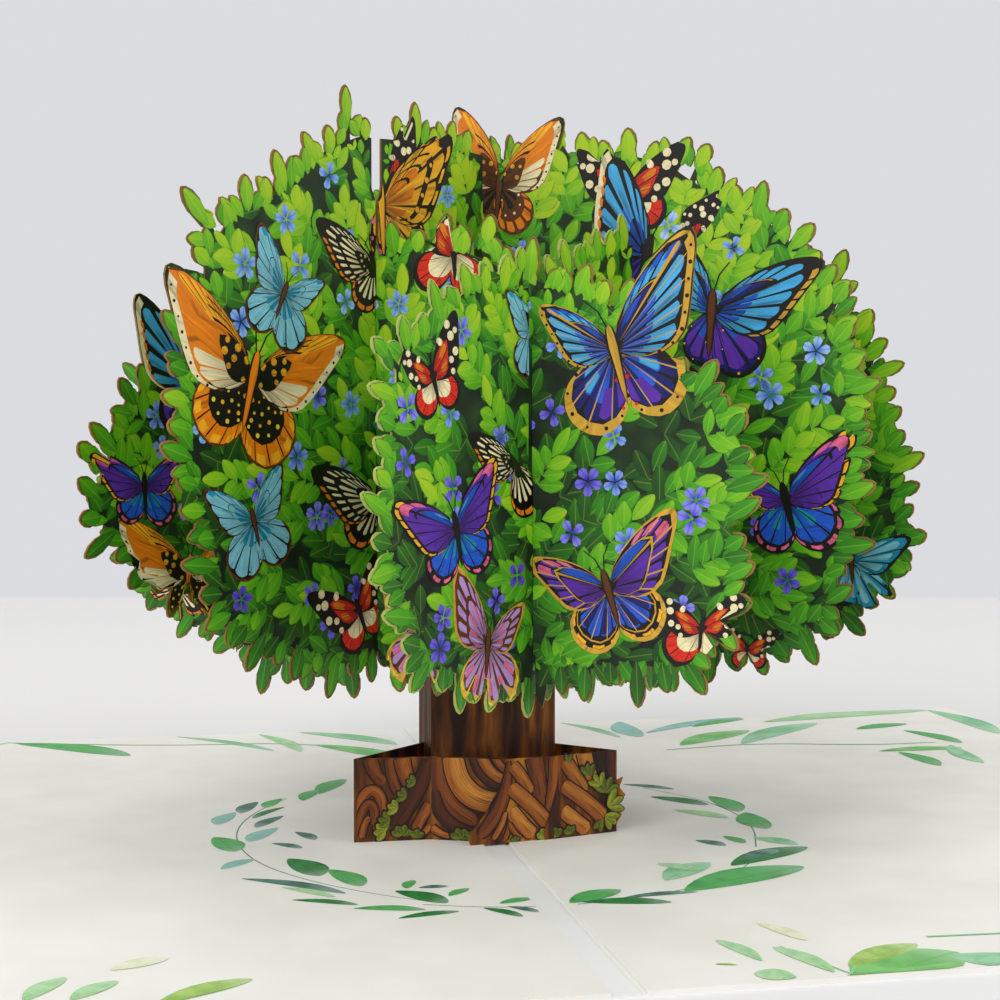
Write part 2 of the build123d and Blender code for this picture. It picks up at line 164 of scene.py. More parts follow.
class NodeSketch:
    """A short way to lay and wire shader nodes in one tree."""

    def __init__(self, tree: NodeTree) -> None:
        """Keep the tree to draw in."""
        self.tree = tree

    def add(self, kind: str, inputs: dict | None = None, **settings: object) -> Node:
        """Add a node.

        Args:
            kind: The node's type name.
            inputs: Values or output sockets for its inputs, by name or index.
            **settings: Properties of the node.

        Returns:
            The new node.
        """
        node = self.tree.nodes.new(kind)
        for name, value in settings.items():
            setattr(node, name, value)
        for name, value in (inputs or {}).items():
            self.feed(node.inputs[name], value)
        return node

    def feed(self, socket: NodeSocket, value: object) -> None:
        """Wire an output into a socket, or set the socket's value."""
        if isinstance(value, NodeSocket):
            self.tree.links.new(value, socket)
        else:
            socket.default_value = value

    def math(self, operation: str, *values: object, clamp: bool = False) -> NodeSocket:
        """Add a Math node on the given values and return its output."""
        node = self.add("ShaderNodeMath", dict(enumerate(values)), operation=operation, use_clamp=clamp)
        return node.outputs[0]

    def times(self, one: object, two: object) -> NodeSocket:
        """Add a Math node that multiplies, and return its output."""
        return self.math("MULTIPLY", one, two)

    def span(self, value: object, low: float, high: float, first: float, last: float) -> NodeSocket:
        """Map a value's range smoothly onto another and return the output."""
        node = self.add(
            "ShaderNodeMapRange",
            {"Value": value, "From Min": low, "From Max": high, "To Min": first, "To Max": last},
            interpolation_type="SMOOTHSTEP",
        )
        return node.outputs["Result"]

    def blend(self, share: object, one: object, two: object, mode: str = "MIX") -> NodeSocket:
        """Mix two colours and return the output."""
        node = self.add("ShaderNodeMix", data_type="RGBA", blend_type=mode)
        self.feed(node.inputs[0], share)
        self.feed(node.inputs[6], one)
        self.feed(node.inputs[7], two)
        return node.outputs[2]

    def glaze(self, colour: object, other: object, value: object, *spans: float) -> NodeSocket:
        """Lay another colour over one, by the share that a value's range is mapped to."""
        return self.blend(self.span(value, *spans), colour, other)

    def ramp(self, share: object, stops: Sequence[tuple[float, str]], steps: bool = False) -> NodeSocket:
        """Add a Color Ramp with the given stops and return its colour."""
        node = self.add("ShaderNodeValToRGB", {"Fac": share})
        ramp = node.color_ramp
        ramp.interpolation = "CONSTANT" if steps else "LINEAR"
        while len(ramp.elements) < len(stops):
            ramp.elements.new(1.0)
        for element, (place, code) in zip(ramp.elements, sorted(stops)):
            element.position = place
            element.color = linear(code)
        return node.outputs["Color"]

    def pick(self, place: object, codes: Sequence[str]) -> NodeSocket:
        """Choose one colour of a row by a place from 0 to 1, without blending."""
        return self.ramp(place, [(index / len(codes), code) for index, code in enumerate(codes)], True)

    def noise(self, vector: object, scale: object, detail: float, **more: object) -> NodeSocket:
        """Add a Noise Texture and return its factor."""
        inputs = {"Vector": vector, "Scale": scale, "Detail": detail, **more}
        return self.add("ShaderNodeTexNoise", inputs).outputs["Fac"]

    def vector(self, *values: object) -> NodeSocket:
        """Join two or three values to a vector."""
        return self.add("ShaderNodeCombineXYZ", dict(enumerate(values))).outputs[0]

    def off_middle(self, across: object) -> NodeSocket:
        """The distance from the middle line of a cell."""
        return self.math("ABSOLUTE", self.math("SUBTRACT", across, 0.5))


def socketed_group(name: str, inputs: dict[str, str], outputs: dict[str, str]) -> NodeTree:
    """Make a node group with named sockets.

    Args:
        name: The group's name.
        inputs: Socket types by input name.
        outputs: Socket types by output name.

    Returns:
        The new group, with its input and output nodes.
    """
    tree = bpy.data.node_groups.new(name, "ShaderNodeTree")
    for direction, sockets in (("INPUT", inputs), ("OUTPUT", outputs)):
        for label, kind in sockets.items():
            tree.interface.new_socket(label, in_out=direction, socket_type=f"NodeSocket{kind}")
    tree.nodes.new("NodeGroupInput")
    tree.nodes.new("NodeGroupOutput")
    return tree


class SharedEffects:
    """The node groups that several inks use, each built once."""

    def __init__(self) -> None:
        """Build the groups."""
        self.cell = self._cell_group()
        self.grain = self._grain_group()

    def _cell_group(self) -> NodeTree:
        """Split an atlas coordinate into its cell and the place inside the cell."""
        tree = socketed_group(
            "atlas_cell",
            {"UV": "Vector", "Columns": "Float", "Rows": "Float"},
            {"Column": "Float", "Row": "Float", "Along": "Float", "Across": "Float"},
        )
        sketch = NodeSketch(tree)
        given, result = tree.nodes["Group Input"], tree.nodes["Group Output"]
        parts = sketch.add("ShaderNodeSeparateXYZ", {0: given.outputs["UV"]})
        for axis, count, cell, local in (("X", "Columns", "Column", "Along"), ("Y", "Rows", "Row", "Across")):
            scaled = sketch.times(parts.outputs[axis], given.outputs[count])
            sketch.feed(result.inputs[cell], sketch.math("FLOOR", scaled))
            sketch.feed(result.inputs[local], sketch.math("FRACT", scaled))
        return tree

    def _grain_group(self) -> NodeTree:
        """Fine paper fibres: a height for a bump and a faint tint."""
        tree = socketed_group(
            "paper_grain", {"Vector": "Vector", "Scale": "Float"}, {"Height": "Float", "Tint": "Float"}
        )
        sketch = NodeSketch(tree)
        given, result = tree.nodes["Group Input"], tree.nodes["Group Output"]
        vector, scale = given.outputs["Vector"], given.outputs["Scale"]
        coarse = sketch.noise(vector, sketch.times(scale, 0.02), 2.0)
        sketch.feed(result.inputs["Height"], sketch.noise(vector, scale, 4.0, Roughness=0.65))
        sketch.feed(result.inputs["Tint"], sketch.span(coarse, 0.3, 0.7, 0.0, 1.0))
        return tree


def add_group(sketch: NodeSketch, tree: NodeTree, inputs: dict) -> Node:
    """Place a shared group in a material's tree and set its inputs."""
    node = sketch.add("ShaderNodeGroup", node_tree=tree)
    for name, value in inputs.items():
        sketch.feed(node.inputs[name], value)
    return node


@dataclass(frozen=True)
class Finish:
    """What every paper finish has: a name, a gloss and the shared effects."""

    name: str
    effects: SharedEffects
    roughness: float = 0.5
    bump: float = 0.15

    COLUMNS = 1
    ROWS = 1

    def build(self) -> Material:
        """Make the material: a Principled shader that shows the finish's own colour."""
        material = bpy.data.materials.new(self.name)
        material.use_nodes = True
        sketch = NodeSketch(material.node_tree)
        shader = material.node_tree.nodes["Principled BSDF"]
        shader.inputs["Roughness"].default_value = self.roughness
        shader.inputs["Specular IOR Level"].default_value = SHEEN
        sketch.feed(shader.inputs["Base Color"], self.colour(sketch, shader))
        return material

    def colour(self, sketch: NodeSketch, shader: Node) -> NodeSocket:
        """Lay the nodes of the finish and return its colour; each finish has its own way."""
        raise NotImplementedError

    def place(self, sketch: NodeSketch) -> NodeSocket:
        """The object coordinates that solids and page papers read."""
        return sketch.add("ShaderNodeTexCoord").outputs["Object"]

    def grain(self, sketch: NodeSketch, shader: Node, vector: object) -> NodeSocket:
        """Give the shader the paper's fine bump and return the grain's faint tint."""
        fibres = add_group(sketch, self.effects.grain, {"Vector": vector, "Scale": GRAIN_SCALE})
        bump = sketch.add("ShaderNodeBump", {"Strength": self.bump, "Distance": 0.0001})
        sketch.feed(bump.inputs["Height"], fibres.outputs["Height"])
        sketch.feed(shader.inputs["Normal"], bump.outputs["Normal"])
        return fibres.outputs["Tint"]


@dataclass(frozen=True)
class PlainPaper(Finish):
    """An unprinted paper: the cut edges of the sheets, or the white card."""

    light: str = "F4F4F2"
    shade: str = "ECECEA"

    def colour(self, sketch: NodeSketch, shader: Node) -> NodeSocket:
        """Two near tones in faint clouds."""
        return sketch.blend(self.grain(sketch, shader, self.place(sketch)), linear(self.light), linear(self.shade))


@dataclass(frozen=True)
class GroundInk(Finish):
    """The dark foliage behind the printed leaves."""

    def colour(self, sketch: NodeSketch, shader: Node) -> NodeSocket:
        """Dark blots, a little lighter high in the crown."""
        place = self.place(sketch)
        self.grain(sketch, shader, place)
        blots = sketch.add(
            "ShaderNodeTexVoronoi", {"Vector": place, "Scale": 230.0, "Randomness": 1.0}, feature="SMOOTH_F1"
        )
        sketch.feed(blots.inputs["Smoothness"], 0.4)
        share = sketch.times(blots.outputs["Distance"], sketch.noise(place, 95.0, 3.0))
        height = sketch.add("ShaderNodeSeparateXYZ", {0: place}).outputs["Z"]
        dark = sketch.ramp(share, [(0.02, "2C4A18"), (0.20, "1B3312"), (0.45, "101D0C")])
        low = sketch.ramp(share, [(0.02, "1C3A16"), (0.20, "122610"), (0.45, "0A140A")])
        return sketch.glaze(low, dark, height, 0.035, 0.12, 0.0, 1.0)


@dataclass(frozen=True)
class AtlasInk(Finish):
    """An ink with a small atlas: each printed shape picks one cell and maps itself over it."""

    COLUMNS = 8

    def cell(self, sketch: NodeSketch) -> tuple[NodeSocket, ...]:
        """Read the atlas map.

        Returns:
            The cell's column and row, and the place along and across it.
        """
        source = sketch.add("ShaderNodeUVMap", uv_map=ATLAS).outputs[0]
        sizes = {"UV": source, "Columns": float(self.COLUMNS), "Rows": float(self.ROWS)}
        return tuple(add_group(sketch, self.effects.cell, sizes).outputs)

    def place_in_row(self, sketch: NodeSketch, column: NodeSocket) -> NodeSocket:
        """A column's place from 0 to 1, a quarter past its left border."""
        return sketch.math("DIVIDE", sketch.math("ADD", column, 0.25), float(self.COLUMNS))


@dataclass(frozen=True)
class LeafInk(AtlasInk):
    """Leaves: rows of the atlas run from shaded to sunlit, columns vary the green."""

    ROWS = 8
    GREENS = ("1A4410", "246010", "2F7D12", "419A12", "5AAF14", "78BE17", "97C81C", "AECF1E")

    def colour(self, sketch: NodeSketch, shader: Node) -> NodeSocket:
        """A shaded root, a lit tip, a dark rim, one darker half, faint veins and a pale rib."""
        column, row, along, across = self.cell(sketch)
        tone = sketch.math("DIVIDE", sketch.math("ADD", row, 0.5), float(self.ROWS))
        varied = sketch.math("ADD", tone, sketch.times(sketch.math("SUBTRACT", column, 3.5), 0.018))
        stops = [((index + 0.5) / self.ROWS, code) for index, code in enumerate(self.GREENS)]
        body = sketch.ramp(varied, stops)
        tip = sketch.ramp(sketch.math("ADD", varied, 0.10), stops)
        root = sketch.ramp(sketch.math("SUBTRACT", varied, 0.22), stops)
        colour = sketch.glaze(body, tip, along, 0.35, 1.0, 0.0, 1.0)
        colour = sketch.glaze(colour, root, along, 0.0, 0.34, 0.85, 0.0)
        middle = sketch.off_middle(across)
        swell = sketch.math("SINE", sketch.times(sketch.math("POWER", along, 0.85), pi))
        reach = sketch.math("DIVIDE", middle, sketch.math("ADD", sketch.times(swell, 0.5), 0.03))
        edge = sketch.blend(0.55, root, linear("0C1E08"))
        colour = sketch.glaze(colour, edge, reach, 0.72, 0.98, 0.0, 0.75)
        slant = sketch.math("SUBTRACT", sketch.times(along, 7.0), sketch.times(middle, 9.0))
        veins = sketch.math("PINGPONG", slant, 0.5)
        colour = sketch.glaze(colour, tip, veins, 0.0, 0.12, 0.16, 0.0)
        colour = sketch.glaze(colour, root, across, 0.44, 0.56, 0.0, 0.24)
        rib = sketch.blend(0.4, tip, linear("D8E26A"))
        return sketch.glaze(colour, rib, middle, 0.015, 0.05, 0.34, 0.0)


@dataclass(frozen=True)
class PetalInk(AtlasInk):
    """Small four and five petalled flowers: columns run from light blue to violet."""

    TIPS = ("BFD9FF", "A6C9FA", "8FB8F0", "86A6EE", "8C8CF0", "7C70E6", "6F5FDC", "6450C8")
    HEARTS = ("5C8CE0", "4778D8", "3564CC", "3450C4", "3C3CC0", "3A2FB0", "3424A0", "2C1C90")

    def colour(self, sketch: NodeSketch, shader: Node) -> NodeSocket:
        """A deep heart, a light blade with a dark middle line, and a darker end."""
        column, _, along, across = self.cell(sketch)
        place = self.place_in_row(sketch, column)
        tips, hearts = sketch.pick(place, self.TIPS), sketch.pick(place, self.HEARTS)
        colour = sketch.glaze(hearts, tips, along, 0.12, 0.80, 0.0, 1.0)
        middle = sketch.off_middle(across)
        colour = sketch.glaze(colour, hearts, middle, 0.02, 0.09, 0.45, 0.0)
        return sketch.glaze(colour, hearts, along, 0.86, 1.0, 0.0, 0.25)


class WingColour(Enum):
    """The butterfly inks, in the order of their atlas cells."""

    BLACK = "17110D"
    ORANGE = "E9800F"
    AMBER = "F2AE22"
    CREAM = "F1E2B2"
    RED = "DB2A12"
    SKY = "44A8DC"
    TEAL = "1B8DAE"
    NAVY = "1C1B68"
    COBALT = "1F57C8"
    VIOLET = "5B2CA4"
    GOLD = "D8A63C"
    PINK = "E3658E"
    BROWN = "5E300F"
    LILAC = "B68FCB"
    YELLOW = "EBD23A"
    GREY_BLUE = "7CC0D0"


(
    BLACK, ORANGE, AMBER, CREAM, RED, SKY, TEAL, NAVY, COBALT, VIOLET, GOLD, PINK, BROWN, LILAC, YELLOW, GREY_BLUE,
) = WingColour


@dataclass(frozen=True)
class WingInk(AtlasInk):
    """The butterflies' inks: one cell a colour, with scale streaks along the wing."""

    COLUMNS = 4
    ROWS = 4

    def colour(self, sketch: NodeSketch, shader: Node) -> NodeSocket:
        """The cell's colour, deeper at the wing's root, in light and dark streaks; gold is a foil."""
        column, row, along, across = self.cell(sketch)
        number = sketch.math("ADD", column, sketch.times(row, float(self.COLUMNS)))
        place = sketch.math("DIVIDE", sketch.math("ADD", number, 0.25), float(len(WingColour)))
        flat = sketch.pick(place, [ink.value for ink in WingColour])
        grid = sketch.vector(sketch.times(along, 3.0), sketch.times(across, 44.0), number)
        streak = sketch.noise(grid, 1.0, 2.0)
        deep = sketch.blend(1.0, flat, linear("A09890"), "MULTIPLY")
        light = sketch.blend(0.3, flat, flat, "ADD")
        colour = sketch.glaze(flat, deep, along, 0.0, 0.55, 1.0, 0.0)
        colour = sketch.glaze(colour, light, streak, 0.50, 0.72, 0.0, 0.8)
        foil = sketch.math("COMPARE", number, float(list(WingColour).index(GOLD)), 0.5)
        sketch.feed(shader.inputs["Metallic"], sketch.times(foil, 0.3))
        sketch.feed(shader.inputs["Roughness"], sketch.span(foil, 0.0, 1.0, self.roughness, 0.35))
        return sketch.glaze(colour, deep, streak, 0.46, 0.30, 0.0, 0.7)


@dataclass(frozen=True)
class BarkInk(Finish):
    """Printed bark of the trunk: long upright streaks, with painted shade that makes it darker to the left and at
    the foot.
    """

    def colour(self, sketch: NodeSketch, shader: Node) -> NodeSocket:
        """Streaks that sway a little, with painted shade at the left and at the foot."""
        place = self.place(sketch)
        self.grain(sketch, shader, place)
        parts = sketch.add("ShaderNodeSeparateXYZ", {0: place})
        stretched = sketch.add("ShaderNodeMapping", {"Vector": place, "Scale": (1.0, 1.0, 0.13)})
        warp = sketch.add("ShaderNodeTexNoise", {"Vector": place, "Scale": 60.0, "Detail": 2.0}).outputs["Color"]
        sway = sketch.add("ShaderNodeVectorMath", {0: warp, "Scale": 0.004}, operation="SCALE").outputs[0]
        bent = sketch.add("ShaderNodeVectorMath", {0: stretched.outputs[0], 1: sway}, operation="ADD")
        colour = sketch.ramp(
            sketch.noise(bent.outputs[0], 330.0, 5.0),
            [(0.36, "2E1002"), (0.44, "572803"), (0.52, "834604"), (0.60, "AC660A"), (0.70, "CC8816")],
        )
        # painted shade: this near black darkens the bark on the trunk's left side and at its foot
        shade = linear("1E0C05")
        # painted shade on the trunk's left side
        colour = sketch.glaze(colour, shade, parts.outputs["X"], -0.012, 0.010, 0.45, 0.0)
        # painted shade at the trunk's foot
        return sketch.glaze(colour, shade, parts.outputs["Z"], 0.012, 0.03, 0.15, 0.0)


@dataclass(frozen=True)
class RootInk(AtlasInk):
    """The printed roots: cells run from the outline's near black to lit bark and moss."""

    BODIES = ("200C05", "3A1808", "5E2A0A", "7A3A0E", "8E4A14", "A65E1E", "47500F", "6E7618")
    LIGHTS = ("2C1208", "54240B", "84420F", "A05818", "B26C22", "C6822E", "6C7A18", "98A02A")

    def colour(self, sketch: NodeSketch, shader: Node) -> NodeSocket:
        """A rounded light across the root, dark again at its far side, with fibres along it."""
        column, _, along, across = self.cell(sketch)
        place = self.place_in_row(sketch, column)
        body, lit = sketch.pick(place, self.BODIES), sketch.pick(place, self.LIGHTS)
        grid = sketch.vector(sketch.times(along, 2.2), sketch.times(across, 15.0))
        fibre = sketch.noise(grid, 1.0, 4.0)
        colour = sketch.glaze(body, lit, across, 0.15, 0.62, 0.0, 1.0)
        colour = sketch.glaze(colour, body, across, 0.70, 0.98, 0.0, 0.85)
        dark = sketch.blend(1.0, body, linear("9A8A80"), "MULTIPLY")
        return sketch.glaze(colour, dark, fibre, 0.50, 0.36, 0.0, 0.8)


@dataclass(frozen=True)
class WashInk(AtlasInk):
    """Watercolour leaves of the pages: columns are hues, the edge dries darker."""

    COLUMNS = 9
    HUES = ("2F8A3E", "5AB35F", "86CA74", "B6DDA8", "9FD3A6", "5C8A78", "97CABD", "B2D070", "EFEFD2")
    DRIED = ("175C28", "2F8A40", "58A84C", "8CC284", "6FB582", "36604F", "6AA898", "84B050", "DCE4B8")

    def colour(self, sketch: NodeSketch, shader: Node) -> NodeSocket:
        """Blooms of dried colour, a pale tip, a darker edge and a thin rib."""
        column, _, along, across = self.cell(sketch)
        place = self.place_in_row(sketch, column)
        hue, dried = sketch.pick(place, self.HUES), sketch.pick(place, self.DRIED)
        bloom = sketch.noise(sketch.vector(sketch.times(along, 3.0), across, column), 1.6, 3.0)
        middle = sketch.off_middle(across)
        colour = sketch.glaze(hue, dried, bloom, 0.38, 0.66, 0.0, 0.75)
        pale = sketch.blend(0.6, hue, linear("EFF6E8"))
        colour = sketch.glaze(colour, pale, along, 0.55, 1.0, 0.0, 0.45)
        colour = sketch.glaze(colour, dried, middle, 0.30, 0.46, 0.0, 0.35)
        return sketch.glaze(colour, dried, middle, 0.008, 0.03, 0.35, 0.0)


@dataclass(frozen=True)
class FlatShape:
    """A flat shape to press many times: points run 0 to 1 along and -0.5 to 0.5 across."""

    points: np.ndarray
    faces: tuple[Face, ...]

    @property
    def local(self) -> np.ndarray:
        """The points as shares of an atlas cell."""
        return np.column_stack([self.points[:, 0], self.points[:, 1] + 0.5])


def leaf_shape(sides: int = 5, fullness: float = 1.16, bluntness: float = 0.60) -> FlatShape:
    """Model one leaf as by hand: a flat disc, pulled to a point at both ends.

    Args:
        sides: Points between the root and the tip on each side.
        fullness: Above one, the leaf is widest beyond its middle.
        bluntness: Below one, its ends are rounder.

    Returns:
        The leaf's outline as one face.
    """
    deselect_all()
    bpy.ops.mesh.primitive_circle_add(vertices=2 * sides + 2, radius=0.5, fill_type="NGON", location=(0.5, 0.0, 0.0))
    disc = bpy.context.object
    bpy.ops.object.transform_apply(location=True, rotation=False, scale=False)
    loop = [disc.data.vertices[index].co.copy() for index in disc.data.polygons[0].vertices]
    bpy.data.objects.remove(disc)
    points = []
    for corner in loop:
        angle = atan2(corner.y, corner.x - 0.5)
        share = 0.5 + 0.5 * cos(angle)
        half = 0.5 * sin(pi * share ** fullness) ** bluntness if 1e-4 < share < 1 - 1e-4 else 0.0
        points.append((share, half if corner.y > 0 else -half))
    points = np.array(points)
    if signed_area(points) < 0:
        points = points[::-1]
    return FlatShape(points, (tuple(range(len(points))),))


def flower_shape(petals: int) -> FlatShape:
    """A flower of separate rounded petals and a centre, as wide as it is long.

    Args:
        petals: How many petals it has.

    Returns:
        The flower, its centre at half its length. Atlas places run outwards along each petal.
    """
    petal = ((0.08, 0.0), (0.42, -0.24), (0.76, -0.35), (1.0, -0.17), (1.0, 0.17), (0.76, 0.35), (0.42, 0.24))
    points: list[Point] = []
    faces: list[Face] = []
    for index in range(petals):
        turn = tau * index / petals
        start = len(points)
        points += [(x * cos(turn) - y * sin(turn), x * sin(turn) + y * cos(turn)) for x, y in petal]
        faces.append(tuple(range(start, len(points))))
    return FlatShape(np.array(points), tuple(faces))


@dataclass(frozen=True)
class PrintPlane:
    """A plane that carries a print: where its sheet's own coordinates start and how they run."""

    origin: Vector
    along: Vector
    up: Vector
    outward: Vector
    lift: float
    mirrored: bool = False

    def to_space(self, flat: np.ndarray, lift: np.ndarray | float) -> np.ndarray:
        """Carry sheet coordinates and a height over the paper into the model's frame."""
        over = (np.zeros(len(flat)) + lift + self.lift)[:, None]
        return (
            np.array(self.origin)[None, :]
            + flat[:, :1] * np.array(self.along)[None, :]
            + flat[:, 1:2] * np.array(self.up)[None, :]
            + over * np.array(self.outward)[None, :]
        )


@dataclass
class PrintPad:
    """Collects the shapes of one ink on one plane and makes them a single mesh."""

    plane: PrintPlane
    ink: type[Finish]
    slots: Sequence["Slot"] = ()
    points: list[np.ndarray] = field(default_factory=list)
    faces: list[Face] = field(default_factory=list)
    places: list[np.ndarray] = field(default_factory=list)
    count: int = 0

    def press_points(
        self, flat: np.ndarray, faces: Iterable[Face], local: np.ndarray, lift: float, cell: Cell
    ) -> None:
        """Add a shape given in sheet coordinates.

        Args:
            flat: The points on the sheet.
            faces: Faces as point numbers, anticlockwise seen with the sheet's own axes.
            local: The points' places inside the atlas cell, from 0 to 1.
            lift: Height over the paper.
            cell: Column and row of the atlas cell.
        """
        inner = 0.04 + 0.92 * np.clip(local, 0.0, 1.0)
        spot = (inner + np.array(cell)[None, :]) / np.array([self.ink.COLUMNS, self.ink.ROWS])[None, :]
        self.points.append(self.plane.to_space(flat, lift))
        for face in faces:
            turned = face[::-1] if self.plane.mirrored else face
            self.faces.append(tuple(index + self.count for index in turned))
            self.places.append(spot[list(turned)])
        self.count += len(flat)

    def press(
        self,
        shape: FlatShape,
        root: Point,
        heading: float,
        size: Point,
        lift: float,
        cell: Cell,
        local: np.ndarray | None = None,
    ) -> None:
        """Press a shape once.

        Args:
            shape: The shape to copy.
            root: Where its root goes.
            heading: The direction of its length, in radians.
            size: Its length and width.
            lift: Height over the paper.
            cell: Column and row of the atlas cell.
            local: Atlas places when they differ from the shape's own.
        """
        run = shape.points[:, 0] * size[0]
        aside = shape.points[:, 1] * size[1]
        flat = np.column_stack([
            root[0] + run * cos(heading) - aside * sin(heading),
            root[1] + run * sin(heading) + aside * cos(heading),
        ])
        for part in self.parted(flat):
            self.press_points(part, shape.faces, shape.local if local is None else local, lift, cell)

    def press_outline(self, flat: np.ndarray, local: np.ndarray, lift: float, cell: Cell) -> None:
        """Press one outline as a single face, whichever way its points run.

        Args:
            flat: The outline's points on the sheet.
            local: Their places inside the atlas cell.
            lift: Height over the paper.
            cell: Column and row of the atlas cell.
        """
        face = tuple(range(len(flat)))
        if signed_area(flat) < 0:
            face = face[::-1]
        for part in self.parted(flat):
            self.press_points(part, (face,), local, lift, cell)

    def parted(self, flat: np.ndarray) -> list[np.ndarray]:
        """Divide a shape at every slot that it lies over."""
        parts = [flat]
        for slot in self.slots:
            parts = [piece for part in parts for piece in slot.part(part)]
        return parts

    def build(self, name: str, material: Material, slot: str) -> Object:
        """Make the mesh object, dress it and let it ride on the card's body.

        Args:
            name: The piece's name.
            material: Its ink.
            slot: Not used.

        Returns:
            The new object.
        """
        mesh = bpy.data.meshes.new(name)
        mesh.from_pydata(np.concatenate(self.points).tolist(), [], self.faces)
        atlas = mesh.uv_layers.new(name=ATLAS)
        atlas.data.foreach_set("uv", np.concatenate(self.places).astype(np.float32).ravel())
        mesh.materials.append(material)
        mesh.validate()
        return adopt(placed(name, mesh))


def adopt(item: Object) -> Object:
    """Let a finished piece ride on the card's one body."""
    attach(item, "root")
    LOG.info("piece %s: %d faces", item.name, len(item.data.polygons))
    return item


@dataclass(frozen=True)
class Slot:
    """A slot across which no print may bridge: a narrow run and, at its mouth, a wide one."""

    along: float
    half: float
    start: float
    mouth_half: float
    shoulder: float
    upward: bool

    def part(self, flat: np.ndarray) -> list[np.ndarray]:
        """Divide a shape that lies over the slot into what prints on each side of it.

        Args:
            flat: The shape's points on the sheet.

        Returns:
            The shape itself, or its two parts.
        """
        offset = flat[:, 0] - self.along
        if offset.min() > self.mouth_half or offset.max() < -self.mouth_half:
            return [flat]
        over = flat[:, 1] > self.start if self.upward else flat[:, 1] < self.start
        if not np.any(over):
            return [flat]
        in_mouth = flat[:, 1] > self.shoulder if self.upward else flat[:, 1] < self.shoulder
        half = np.where(in_mouth, self.mouth_half, self.half)
        parts = []
        for side in (1.0, -1.0):
            if (offset * side).max() > self.half:
                clear = np.where(over, np.maximum(offset * side, half) * side, offset)
                parts.append(np.column_stack([self.along + clear, flat[:, 1]]))
        return parts


@dataclass(frozen=True)
class EdgeLeaf:
    """One leaf of a sheet's die-cut edge: where it starts, where it points and its size."""

    root: Point
    heading: float
    length: float
    width: float


